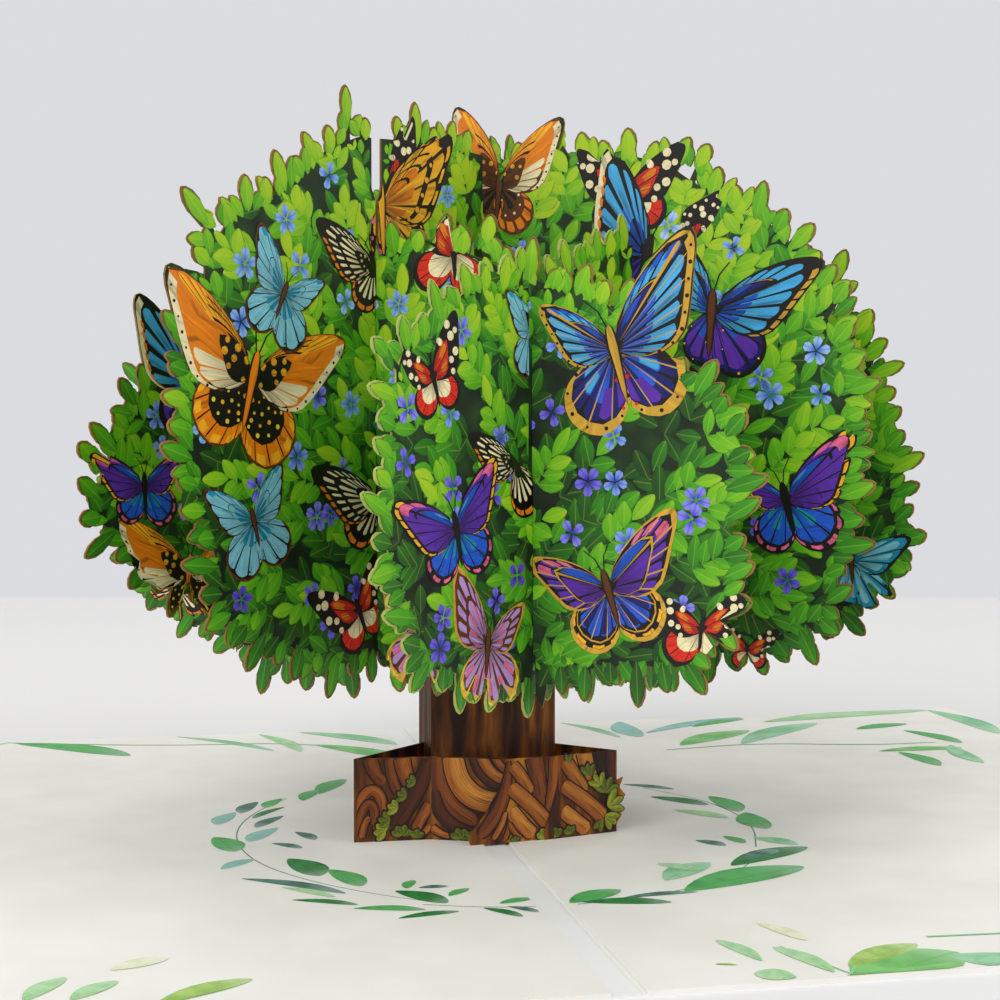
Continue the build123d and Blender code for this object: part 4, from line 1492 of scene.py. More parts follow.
    SWALLOWTAIL = WingStyle(
        BLACK, AMBER,
        (
            Panels(AMBER, 0.04, 0.97, 0.06, 0.88, 7, 0.14), Panels(ORANGE, 0.10, 0.90, 0.10, 0.50, 4, 0.40),
            Panels(BLACK, 0.04, 0.46, 0.34, 0.38), Panels(BLACK, 0.04, 0.44, 0.52, 0.56),
            Panels(BLACK, 0.06, 0.40, 0.68, 0.72), Panels(BLACK, 0.42, 0.97, 0.62, 0.72),
            Spots(AMBER, 0.46, 0.90, 0.67, 6, 0.018), Panels(AMBER, 0.24, 0.90, 0.90, 0.95, 7, 0.35),
        ),
        (
            Panels(AMBER, 0.04, 0.96, 0.08, 0.66, 6, 0.16), Spots(PINK, 0.14, 0.86, 0.80, 6, 0.040),
            Panels(AMBER, 0.12, 0.88, 0.89, 0.94, 6, 0.40),
        ),
    )
    FAWN = WingStyle(
        BROWN, BROWN,
        (
            Panels(BROWN, 0.03, 0.97, 0.04, 0.96), Panels(ORANGE, 0.06, 0.68, 0.42, 0.955),
            Panels(AMBER, 0.14, 0.42, 0.54, 0.93, 5, 0.35), Panels(CREAM, 0.58, 0.93, 0.42, 0.82, 5, 0.14),
            Panels(CREAM, 0.42, 0.82, 0.87, 0.985), Panels(BLACK, 0.04, 0.42, 0.47, 0.52),
            Panels(BLACK, 0.06, 0.38, 0.64, 0.68), Spots(AMBER, 0.12, 0.64, 0.33, 4, 0.020),
            Spots(BLACK, 0.45, 0.79, 0.93, 8, 0.009),
        ),
        (
            Panels(BLACK, 0.08, 0.92, 0.10, 0.50, 5, 0.40), Panels(ORANGE, 0.08, 0.92, 0.72, 0.93, 9, 0.30),
            Spots(CREAM, 0.14, 0.86, 0.60, 7, 0.020),
        ),
    )
    DAPPLED = WingStyle(
        BLACK, BLACK,
        (
            Spots(CREAM, 0.10, 0.88, 0.88, 8, 0.026), Spots(CREAM, 0.14, 0.84, 0.72, 6, 0.036),
            Spots(CREAM, 0.22, 0.74, 0.54, 3, 0.040), Panels(RED, 0.10, 0.90, 0.10, 0.36),
        ),
        (
            Panels(RED, 0.06, 0.94, 0.10, 0.60), Spots(CREAM, 0.14, 0.86, 0.78, 6, 0.040),
        ),
    )
    MARBLED = WingStyle(
        BLACK, BLACK,
        (
            Panels(ORANGE, 0.50, 0.92, 0.88, 0.95, 8, 0.30), Panels(CREAM, 0.06, 0.94, 0.34, 0.60, 12, 0.50),
            Panels(CREAM, 0.12, 0.88, 0.66, 0.82, 13, 0.60), Spots(CREAM, 0.14, 0.80, 0.24, 6, 0.014),
        ),
        (
            Panels(ORANGE, 0.10, 0.90, 0.84, 0.94, 7, 0.20), Panels(CREAM, 0.06, 0.94, 0.24, 0.70, 9, 0.50),
        ),
    )
    LILAC = WingStyle(
        GOLD, BROWN,
        (
            Panels(BROWN, 0.03, 0.97, 0.05, 0.92), Panels(LILAC, 0.06, 0.96, 0.14, 0.56, 6, 0.30),
            Panels(PINK, 0.30, 0.90, 0.30, 0.52, 4, 0.60), Panels(LILAC, 0.10, 0.92, 0.62, 0.86, 9, 0.40),
        ),
        (
            Panels(BROWN, 0.03, 0.97, 0.05, 0.88), Panels(LILAC, 0.05, 0.95, 0.12, 0.84, 9, 0.36),
            Panels(PINK, 0.10, 0.90, 0.50, 0.80, 5, 0.70), Panels(YELLOW, 0.20, 0.84, 0.91, 0.95, 6, 0.40),
        ),
    )
    MIDNIGHT = WingStyle(
        BLACK, BLACK,
        (
            Panels(COBALT, 0.05, 0.96, 0.12, 0.50, 5, 0.30), Panels(SKY, 0.06, 0.94, 0.34, 0.86, 8, 0.36),
            Panels(CREAM, 0.42, 0.86, 0.89, 0.985), Panels(ORANGE, 0.50, 0.84, 0.86, 0.92, 7, 0.30),
        ),
        (
            Panels(VIOLET, 0.05, 0.95, 0.10, 0.86), Panels(NAVY, 0.08, 0.92, 0.16, 0.80, 5, 0.30),
        ),
    )
    LAGOON = WingStyle(
        BLACK, BROWN,
        (
            Panels(TEAL, 0.04, 0.96, 0.06, 0.92, 6, 0.10), Panels(GREY_BLUE, 0.06, 0.94, 0.20, 0.80, 6, 0.40),
        ),
        (
            Panels(TEAL, 0.04, 0.96, 0.06, 0.90, 6, 0.12), Panels(GREY_BLUE, 0.08, 0.92, 0.24, 0.76, 6, 0.45),
            Spots(BLACK, 0.16, 0.84, 0.82, 5, 0.020),
        ),
    )


@dataclass(frozen=True)
class Butterfly:
    """One printed butterfly, in the millimetres of its sheet: its root and the tips of its wings."""

    kind: Kind
    root: Point
    fore: tuple[Point, ...]
    hind: tuple[Point, ...]

    FORE_LEVEL = 12  # layers from the hind wings' lowest to the fore wings'
    BODY_LEVEL = 26
    BODY = ((-0.40, 0.0), (-0.28, 0.022), (-0.10, 0.030), (0.02, 0.040), (0.11, 0.034), (0.16, 0.024), (0.19, 0.0))
    FEELER = ((0.16, 0.01), (0.30, 0.05), (0.40, 0.13))

    @property
    def axis(self) -> np.ndarray:
        """The direction from its tail to its head."""
        root = np.array(self.root)
        run = np.zeros(2)
        for tips, sign in ((self.fore, 1.0), (self.hind, -1.0)):
            for tip in tips:
                spread = np.array(tip) - root
                run += sign * spread / np.linalg.norm(spread)
        return run / np.linalg.norm(run)

    def press(self, pad: PrintPad, sheet: CrownSheet, lift: float, layer: float) -> None:
        """Print it.

        Args:
            pad: The pad of its sheet's face.
            sheet: The sheet that carries it.
            lift: Height of its lowest layer over the paper.
            layer: Height from layer to layer.
        """
        style = self.kind.value
        for tips, outline, layers, first in (
            (self.hind, HIND_WING, style.hind, lift),
            (self.fore, FORE_WING, style.fore, lift + self.FORE_LEVEL * layer),
        ):
            for number, tip in enumerate(tips):
                level = first + number * layer * 0.3
                drawn = [(style.rim, [outline.edge(np.linspace(0, 1, 41)) * 0.985])]
                drawn += [(one.ink, one.shapes(outline)) for one in layers]
                self._wing(pad, sheet, tip, outline, drawn, level, layer)
        self._body(pad, sheet, style.body, lift + self.BODY_LEVEL * layer)

    def _wing(
        self,
        pad: PrintPad,
        sheet: CrownSheet,
        tip: Point,
        outline: WingOutline,
        drawn: list[tuple[WingColour, list[np.ndarray]]],
        lift: float,
        layer: float,
    ) -> None:
        """Print layers of one wing, mirrored where it is the left one."""
        root = np.array(self.root)
        run = np.array(tip) - root
        hand = 1.0 if run[0] * self.axis[1] - run[1] * self.axis[0] >= 0 else -1.0
        across = np.array([-run[1], run[0]]) * hand
        reach = np.hypot(*outline.edge(np.linspace(0, 1, 40)).T).max()
        for number, (ink, shapes) in enumerate(drawn):
            for shape in shapes:
                flat = sheet.drawn_in((root + shape[:, :1] * run + shape[:, 1:2] * across) * MM, root * MM)
                turn = np.arctan2(shape[:, 1], shape[:, 0]) / pi + 0.5
                local = np.column_stack([np.hypot(*shape.T) / reach, turn])
                pad.press_outline(flat, local, lift + number * layer, wing_cell(ink))

    def _body(self, pad: PrintPad, sheet: CrownSheet, ink: WingColour, lift: float) -> None:
        """Print the body, a lit stripe along it and the feelers."""
        root = np.array(self.root)
        span = max(np.linalg.norm(np.array(tip) - root) for tip in self.fore + self.hind)
        axis = self.axis
        across = np.array([-axis[1], axis[0]])
        for ink_used, slim, rise in ((BLACK, 1.25, 0.0), (ink, 0.8, 0.0012 * MM)):
            right = [root + (axis * run - across * half * slim) * span for run, half in self.BODY]
            left = [root + (axis * run + across * half * slim) * span for run, half in self.BODY[-2:0:-1]]
            flat = np.array(right + left) * MM
            local = np.column_stack([np.linspace(0.1, 0.9, len(flat)), np.full(len(flat), 0.5)])
            pad.press_outline(sheet.drawn_in(flat, root * MM), local, lift + rise, wing_cell(ink_used))
        for hand in (-1, 1):
            line = [root + (axis * run + across * hand * aside) * span for run, aside in self.FEELER]
            thick = across * 0.006 * span
            flat = np.array([*(point - thick for point in line), *(point + thick for point in line[::-1])]) * MM
            if sheet.holds(flat).all():
                pad.press_outline(flat, np.full((len(flat), 2), 0.5), lift, wing_cell(BLACK))


def wing_cell(ink: WingColour) -> Cell:
    """Column and row of an ink in the wings' atlas."""
    number = list(WingColour).index(ink)
    return number % WingInk.COLUMNS, number // WingInk.COLUMNS


def settled(kind: Kind, x: float, y: float, span: float, tilt: float) -> Butterfly:
    """A butterfly with evenly opened wings.

    Args:
        kind: Its kind.
        x: Its place along the sheet, in millimetres.
        y: Its height.
        span: The length of a fore wing.
        tilt: Degrees it leans to the left.

    Returns:
        The butterfly.
    """
    head = radians(90 + tilt)
    tips = [
        onward((x, y), head + radians(turn), span * share)
        for turn, share in ((52, 1.0), (-52, 1.0), (138, 0.72), (-138, 0.72))
    ]
    return Butterfly(kind, (x, y), tuple(tips[:2]), tuple(tips[2:]))


BUTTERFLIES = {
    "crown_a_front": (
        Butterfly(Kind.HARLEQUIN, (-50, 84), ((-58.5, 88), (-44.5, 95)), ((-53, 77.5), (-43.5, 80.5))),
        Butterfly(Kind.AZURE, (-23, 92.5), ((-32, 99), (-23.5, 106)), ((-28.5, 85),)),
        Butterfly(Kind.MARBLED, (-29, 70), ((-41.5, 75),), ((-25, 61),)),
        Butterfly(Kind.ROYAL, (-44.5, 60), ((-60, 64), (-34, 71.5)), ((-50.5, 51.5), (-35.5, 54))),
        Butterfly(Kind.LILAC, (-36.5, 40.5), ((-45, 54), (-26.5, 46.5)), ((-41.5, 31), (-30.5, 29.5))),
        settled(Kind.SUNSET, 24, 62, 15, -12),
        settled(Kind.AZURE, 46, 80, 11, 20),
        settled(Kind.HARLEQUIN, 8, 88, 10, 8),
        settled(Kind.GILT_ROYAL, 50, 50, 13, -20),
    ),
    "crown_a_middle": (
        Butterfly(Kind.SUNSET, (-60.5, 84.5), ((-78.5, 101), (-38.5, 91)), ((-73, 75.5), (-54.5, 69.5))),
        Butterfly(Kind.AZURE, (-53.5, 98.5), ((-59, 110), (-43.5, 101)), ((-62, 93.5), (-51, 88.5))),
        Butterfly(Kind.AZURE, (-60.5, 61), ((-71.5, 66), (-54, 70.5)), ((-64, 51), (-52.5, 54.5))),
        Butterfly(Kind.MARBLED, (-30.5, 63.5), ((-47.5, 69), (-15, 71)), ((-38.5, 56), (-22, 54))),
        Butterfly(Kind.HARLEQUIN, (-35.5, 44), ((-48.5, 47.5), (-31, 54)), ((-38.5, 36.5), (-28.5, 41))),
        Butterfly(Kind.MARBLED, (-31.5, 104.5), ((-46, 111.5),), ((-35.5, 96.5),)),
        Butterfly(Kind.DAPPLED, (-27.5, 119.5), ((-21, 132.5),), ()),
        Butterfly(Kind.SWALLOWTAIL, (-29.5, 115.5), ((-10, 130),), ((-18.5, 107), (-28, 105))),
        settled(Kind.GILDED, 40, 72, 16, -15),
        settled(Kind.HARLEQUIN, 64, 92, 10, -25),
        settled(Kind.ROYAL, 20, 96, 13, 15),
        settled(Kind.LILAC, 58, 50, 13, 10),
    ),
    "crown_a_back": (
        Butterfly(Kind.MIDNIGHT, (-47, 84), ((-60, 99.5), (-36, 97)), ((-54, 76), (-41, 75))),
        Butterfly(Kind.ROYAL, (-58.5, 66), ((-70.5, 71.5), (-49.5, 71.5)), ((-64, 60), (-52, 59.5))),
        Butterfly(Kind.SUNSET, (-48.5, 50), ((-64.5, 60), (-40, 54.5)), ((-55, 41), (-44, 37.5))),
        settled(Kind.GILDED, 10, 76, 17, 10),
        settled(Kind.AZURE, 36, 92, 11, -18),
        settled(Kind.HARLEQUIN, -12, 100, 10, 20),
        settled(Kind.SWALLOWTAIL, 34, 52, 14, -8),
        settled(Kind.LILAC, -16, 50, 13, 12),
    ),
    "crown_b_front": (
        Butterfly(Kind.LILAC, (3, 40.5), ((-5, 51), (12, 51)), ((-2.5, 31.5), (8, 31.5))),
        Butterfly(Kind.HARLEQUIN, (9.5, 106), ((4.5, 117),), ((1.5, 101.5), (14.5, 98.5))),
        Butterfly(Kind.GILDED, (39.5, 89), ((25.5, 96.5), (53, 108)), ((34, 75), (52, 80.5))),
        Butterfly(Kind.GILT_ROYAL, (38.5, 49.5), ((23.5, 53.5), (50.5, 63)), ((34.5, 38.5), (48.5, 43))),
        Butterfly(Kind.HARLEQUIN, (55, 43.5), ((63, 50), (47, 48.5)), ((48.5, 38.5), (58, 37))),
        settled(Kind.SUNSET, -38, 66, 15, 14),
        settled(Kind.AZURE, -20, 92, 11, -10),
        settled(Kind.MARBLED, -50, 46, 11, 20),
    ),
    "crown_b_middle": (
        Butterfly(Kind.HARLEQUIN, (29, 119), ((40.5, 127), (18.5, 127.5)), ((23, 112.5), (36.5, 113.5))),
        Butterfly(Kind.MIDNIGHT, (33, 107.5), ((25, 127.5),), ((26.5, 102),)),
        Butterfly(Kind.DAPPLED, (41, 109.5), ((47.5, 118.5),), ()),
        Butterfly(Kind.TWILIGHT, (45.5, 97), ((66, 105), (40.5, 109)), ((54, 86), (43, 87))),
        Butterfly(Kind.ROYAL, (59.5, 63.5), ((72, 76), (51, 67.5)), ((56, 54), (69.5, 56.5))),
        Butterfly(Kind.HARLEQUIN, (52.5, 36.5), ((58.5, 40.5), (48.5, 41)), ((50, 33.5), (56, 34))),
        Butterfly(Kind.FAWN, (3, 122), ((-6.5, 137.5), (16, 133.5)), ((-3.5, 113.5), (8.5, 113))),
        settled(Kind.SUNSET, -38, 76, 16, 12),
        settled(Kind.AZURE, -56, 54, 12, 24),
        settled(Kind.HARLEQUIN, -20, 104, 11, -8),
        settled(Kind.GILT_ROYAL, -22, 50, 13, 6),
    ),
    "crown_b_back": (
        Butterfly(Kind.LAGOON, (63, 51), ((74.5, 55.5), (54, 58)), ((69, 41), (61, 42))),
        Butterfly(Kind.AZURE, (58.5, 84), ((54.5, 92), (64.5, 90)), ((56, 79), (62.5, 79.5))),
        settled(Kind.GILDED, -10, 76, 17, -8),
        settled(Kind.AZURE, -36, 92, 11, 18),
        settled(Kind.FAWN, -34, 52, 14, 10),
        settled(Kind.HARLEQUIN, 16, 98, 10, -20),
        settled(Kind.ROYAL, 18, 50, 13, -12),
    ),
}


@dataclass
class ButterflyPrint(FacePrint):
    """The butterflies of one face."""

    lift: float = 0.085 * MM
    layer: float = 0.0013 * MM
    next_lift: float = 0.036 * MM

    def build(self, ink: Material) -> Object:
        """Press the butterflies.

        Args:
            ink: The wing ink.

        Returns:
            The printed butterflies.
        """
        pad = self.sheet.pad(self.side, WingInk)
        for number, butterfly in enumerate(BUTTERFLIES[self.sheet.node.name]):
            butterfly.press(pad, self.sheet, self.lift + (number % 2) * self.next_lift, self.layer)
        return pad.build(self.named("butterflies"), ink, "crown_print")


@dataclass(frozen=True)
class RootBand:
    """One printed root: its middle line and its width along it, in millimetres, and its atlas cell."""

    line: tuple[Point, ...]
    widths: tuple[float, ...]
    cell: int

    def press(self, pad: PrintPad, low: Point, high: Point, lift: float) -> None:
        """Print its dark outline and its rounded body, kept inside the panel.

        Args:
            pad: The panel's pad.
            low: The panel's lowest corner.
            high: Its highest corner.
            lift: Height over the paper.
        """
        points = np.array(self.line, float)
        wide = np.interp(np.linspace(0, 1, len(points)), np.linspace(0, 1, len(self.widths)), self.widths)
        track = cut_corners(np.column_stack([points, wide]), 2)
        run = np.gradient(track[:, :2], axis=0)
        run /= np.hypot(*run.T)[:, None]
        across = np.column_stack([-run[:, 1], run[:, 0]])
        share = np.linspace(0, 1, len(track))
        taper = np.clip(np.minimum(share * 8 + 0.2, (1 - share) * 6), 0.2, 1) ** 0.5
        for cell, extra, rise in ((0, 0.28, 0.0), (self.cell, 0.0, 0.006 * MM)):
            half = (track[:, 2] / 2 * taper + extra)[:, None]
            left, right = track[:, :2] + across * half, track[:, :2] - across * half
            flat = np.clip(np.concatenate([right, left]), low, high) * MM
            local = np.concatenate([np.column_stack([share, share * 0 + side]) for side in (0.0, 1.0)])
            pad.press_points(flat, strip_faces(len(share)), local, lift + rise, (cell, 0))


@dataclass(frozen=True)
class MossTuft:
    """A fan of lobed moss leaves: its root, the directions and lengths of its leaves, in millimetres."""

    root: Point
    headings: tuple[float, ...]
    length: float
    width: float
    cell: int

    def sized(self, grow: float) -> tuple[Point, Point]:
        """Its root and its leaves' length and width in metres, the leaves larger by a factor."""
        return (self.root[0] * MM, self.root[1] * MM), (self.length * grow * MM, self.width * grow * MM)


@dataclass(frozen=True)
class SkirtPanel:
    """One printed panel of the root skirt, in plan from its left fold to its right one."""

    name: str
    start: Point
    end: Point
    bands: tuple[RootBand, ...]
    moss: tuple[MossTuft, ...]

    @property
    def length(self) -> float:
        """How far its folds stand apart."""
        return hypot(self.end[0] - self.start[0], self.end[1] - self.start[1])


SKIRT_PANELS = (
    SkirtPanel(
        "left", (-27.0, -13.5), (-13.2, -14.0),
        (
            RootBand(((2.6, 15.3), (3.4, 12.6), (5.2, 10.6)), (2.6, 2.0), 2),
            RootBand(((6.2, 15.3), (6.6, 11.5), (7.8, 8.6)), (2.0, 1.6), 2),
            RootBand(((8.4, 15.3), (9.0, 12.2), (10.6, 9.0)), (3.0, 2.4), 3),
            RootBand(((0.4, 3.2), (0.8, 7.6), (2.6, 9.8), (4.6, 8.6), (4.8, 5.0), (3.6, 1.6)), (1.8, 2.0), 3),
            RootBand(((0.4, 1.6), (1.0, 5.4), (2.4, 7.4), (3.5, 6.0), (3.2, 3.0)), (1.5, 1.6), 2),
            RootBand(((1.0, 0.8), (1.6, 3.4), (2.4, 4.6)), (1.2, 1.0), 3),
            RootBand(((8.6, 7.6), (6.8, 5.0), (5.8, 2.0)), (2.0, 1.6), 1),
            RootBand(((13.5, 14.6), (11.8, 10.2), (9.4, 6.0), (6.8, 2.4)), (2.4, 3.0, 2.6), 1),
            RootBand(((13.6, 6.6), (12.2, 4.4), (10.8, 1.8)), (2.0, 1.8), 3),
            RootBand(((13.6, 2.6), (12.6, 1.4), (11.6, 0.6)), (1.2, 0.9), 4),
        ),
        (
            MossTuft((10.9, 10.6), (120, 165, 200), 1.7, 1.0, 6), MossTuft((9.2, 8.0), (110, 150, 195), 1.9, 1.1, 6),
            MossTuft((7.6, 5.8), (115, 155, 200), 2.0, 1.2, 7), MossTuft((6.2, 3.6), (120, 165, 205), 2.2, 1.3, 6),
            MossTuft((5.4, 1.8), (90, 140, 185, 225), 2.2, 1.4, 7),
            MossTuft((8.4, 1.0), (20, 70, 120, 160), 2.0, 1.4, 6), MossTuft((11.0, 0.5), (30, 80, 130), 1.6, 1.2, 6),
        ),
    ),
    SkirtPanel(
        "nose_left", (-13.2, -14.0), (0.0, -19.3),
        (
            RootBand(((1.0, 15.3), (1.6, 9.8), (4.2, 5.4), (8.4, 3.2)), (3.2, 3.4), 2),
            RootBand(((0.3, 9.0), (1.6, 4.8), (5.2, 2.0), (9.4, 1.0)), (2.2, 2.2), 1),
            RootBand(((4.0, 16.0), (4.8, 11.6), (7.0, 8.6), (10.4, 7.2), (13.6, 7.4)), (3.8, 4.4, 3.6), 5),
            RootBand(((7.6, 16.0), (8.6, 13.0), (10.8, 10.8), (13.8, 10.2)), (1.2, 1.4), 1),
            RootBand(((9.4, 16.0), (10.4, 13.6), (12.2, 12.0), (14.0, 11.4)), (2.0, 1.8), 4),
            RootBand(((11.8, 16.0), (12.6, 14.4), (14.0, 13.2)), (1.4, 1.2), 3),
            RootBand(((0.2, 2.2), (1.8, 1.2), (3.6, 0.7)), (1.5, 0.9), 4),
        ),
        (
            MossTuft((5.6, 0.4), (20, 60, 110, 160), 2.0, 1.5, 6), MossTuft((7.8, 0.4), (30, 80, 130), 1.7, 1.3, 6),
        ),
    ),
    SkirtPanel(
        "nose_right", (0.0, -19.3), (10.2, -18.0),
        (
            RootBand(((5.0, 15.6), (5.8, 11.8), (6.4, 7.6)), (3.4, 2.6), 2),
            RootBand(((9.4, 15.6), (9.2, 10.4), (8.2, 5.2), (8.0, 2.0)), (2.6, 2.4, 1.6), 3),
            RootBand(((0.8, 14.2), (2.6, 12.0), (4.4, 8.8)), (2.2, 2.2), 4),
            RootBand(((0.4, 10.2), (3.2, 7.8), (6.4, 4.6), (8.4, 2.2)), (2.6, 2.8), 4),
            RootBand(((0.5, 6.0), (2.4, 3.6), (5.0, 0.9)), (2.6, 2.6), 5),
            RootBand(((0.2, 3.4), (1.2, 1.8), (2.6, 0.4)), (0.9, 1.0), 3),
        ),
        (
            MossTuft((7.4, 0.3), (40, 80, 120, 155), 2.0, 1.5, 7), MossTuft((9.4, 0.3), (60, 100, 140), 1.8, 1.4, 6),
            MossTuft((1.4, 0.1), (40, 90, 140), 1.0, 0.8, 6),
        ),
    ),
    SkirtPanel(
        "right", (10.2, -18.0), (21.5, -15.0),
        (
            RootBand(((4.8, 15.8), (5.6, 12.6), (7.2, 9.4)), (3.2, 2.6), 5),
            RootBand(((8.0, 15.8), (8.6, 12.0), (9.4, 8.6)), (2.0, 1.6), 0),
            RootBand(((10.6, 15.8), (10.8, 11.0), (10.9, 6.0)), (1.8, 1.6), 1),
            RootBand(((0.8, 14.4), (2.6, 11.8), (5.2, 8.2)), (2.6, 2.6), 4),
            RootBand(((0.4, 9.8), (3.4, 7.8), (6.8, 5.2), (9.8, 2.2)), (2.6, 3.0), 4),
            RootBand(((0.3, 5.2), (2.8, 3.2), (5.8, 0.8)), (2.6, 2.8), 5),
            RootBand(((10.6, 4.4), (10.9, 2.0), (11.0, 0.4)), (1.4, 1.2), 0),
        ),
        (
            MossTuft((1.6, 13.8), (70, 110), 1.7, 0.9, 6), MossTuft((5.8, 11.0), (60, 95, 130), 2.4, 1.2, 6),
            MossTuft((2.0, 0.6), (60, 110, 150), 1.6, 1.2, 6),
        ),
    ),
)


@dataclass
class SkirtPrint:
    """The printed roots and moss of the skirt."""

    page_top: float = 0.85
    paper: float = 0.3
    height: float = 15.3
    nose_reach: float = 7.6
    margin: float = 0.1

    def plane(self, panel: SkirtPanel) -> PrintPlane:
        """The outer face of a panel."""
        (x, y), (end_x, end_y) = panel.start, panel.end
        along = Vector(((end_x - x) / panel.length, (end_y - y) / panel.length, 0.0))
        outward = Vector((along.y, -along.x, 0.0))
        origin = Vector((x, y, self.page_top)) * MM
        return PrintPlane(origin, along, UP, outward, self.paper / 2 * MM + 0.01 * MM)

    def build(self, ink: Material, paper: Material) -> None:
        """Print every panel, the nose's root and the moss past the right corner.

        Args:
            ink: The root ink.
            paper: The finish of the moss leaves' cut edges.
        """
        shape = leaf_shape()
        for panel in SKIRT_PANELS:
            pad = PrintPad(self.plane(panel), RootInk)
            low, high = (self.margin, 0.05), (panel.length - self.margin, self.height - self.margin)
            for number, band in enumerate(panel.bands):
                band.press(pad, low, high, (0.01 + 0.013 * number) * MM)
            for tuft in panel.moss:
                self._tuft(pad, shape, tuft, 0.16 * MM)
            pad.build(f"skirt_print_{panel.name}", ink, "root_print")
        self._nose(ink)
        self._corner_moss(ink, paper, shape)

    def _tuft(self, pad: PrintPad, shape: FlatShape, tuft: MossTuft, lift: float) -> None:
        """Print one fan of moss leaves over its dark outline."""
        for cell, grow, rise in ((0, 1.22, 0.0), (tuft.cell, 1.0, 0.008 * MM)):
            root, size = tuft.sized(grow)
            for number, heading in enumerate(tuft.headings):
                pad.press(shape, root, radians(heading), size, lift + rise + number * 0.001 * MM, (cell, 0))

    def _nose(self, ink: Material) -> None:
        """Print the root that runs on past the nose."""
        pad = PrintPad(self.plane(SKIRT_PANELS[2]), RootInk)
        low, high = (-self.nose_reach + 0.3, 0.1), (0.9, self.height - 0.4)
        for number, band in enumerate((
            RootBand(((0.2, 15.0), (-0.2, 10.0), (-2.0, 5.4), (-5.4, 1.4)), (0.6, 1.9, 2.6, 2.2), 2),
            RootBand(((-0.4, 5.6), (-1.2, 3.2), (-2.8, 0.8)), (0.8, 1.1, 1.0), 4),
            RootBand(((0.5, 4.6), (0.2, 2.4), (-0.6, 0.6)), (0.7, 0.9), 3),
        )):
            band.press(pad, low, high, (0.012 + 0.013 * number) * MM)
        pad.build("skirt_print_nose", ink, "root_print")

    def _corner_moss(self, ink: Material, paper: Material, shape: FlatShape) -> None:
        """Cut and print the moss leaves that stand past the right corner."""
        plane = self.plane(SKIRT_PANELS[3])
        core = PrintPad(plane, PlainPaper)
        pad = PrintPad(plane, RootInk)
        tufts = (
            MossTuft((9.2, 7.6), (20, 62, 100, 140), 3.4, 1.7, 6),
            MossTuft((9.8, 5.0), (-14, 22, 60), 3.9, 1.8, 7),
            MossTuft((9.4, 3.4), (-70, -38, -8), 3.2, 1.6, 7),
            MossTuft((8.2, 9.0), (75, 120, 160), 2.8, 1.4, 7),
            MossTuft((8.6, 2.6), (-100, -140), 2.4, 1.4, 6),
        )
        for number, tuft in enumerate(tufts):
            for heading in tuft.headings:
                root, size = tuft.sized(1.0)
                core.press(shape, root, radians(heading), size, 0.17 * MM, (0, 0))
                inner = (size[0] * 0.94, size[1] * 0.84)
                lift = (0.29 + 0.004 * number) * MM + heading * 1e-9
                pad.press(shape, root, radians(heading), inner, lift, (tuft.cell, 0))
        thicken(core.build("skirt_moss", paper, "root_print"), 0.2 * MM)
        pad.build("skirt_moss_print", ink, "root_print")


class Hue(Enum):
    """The page's watercolour hues, as columns of its atlas."""

    DEEP = 0
    GREEN = 1
    FRESH = 2
    PALE = 3
    MINT = 4
    GREY = 5
    TEAL = 6
    LIME = 7
    CREAM = 8


@dataclass(frozen=True)
class PageLeaf:
    """A painted leaf on the pages: root, tip and width in millimetres, and its hue."""

    root: Point
    tip: Point
    width: float
    hue: Hue


@dataclass(frozen=True)
class PageStem:
    """A painted stem: its points in millimetres and its hue."""

    line: tuple[Point, ...]
    width: float
    hue: Hue


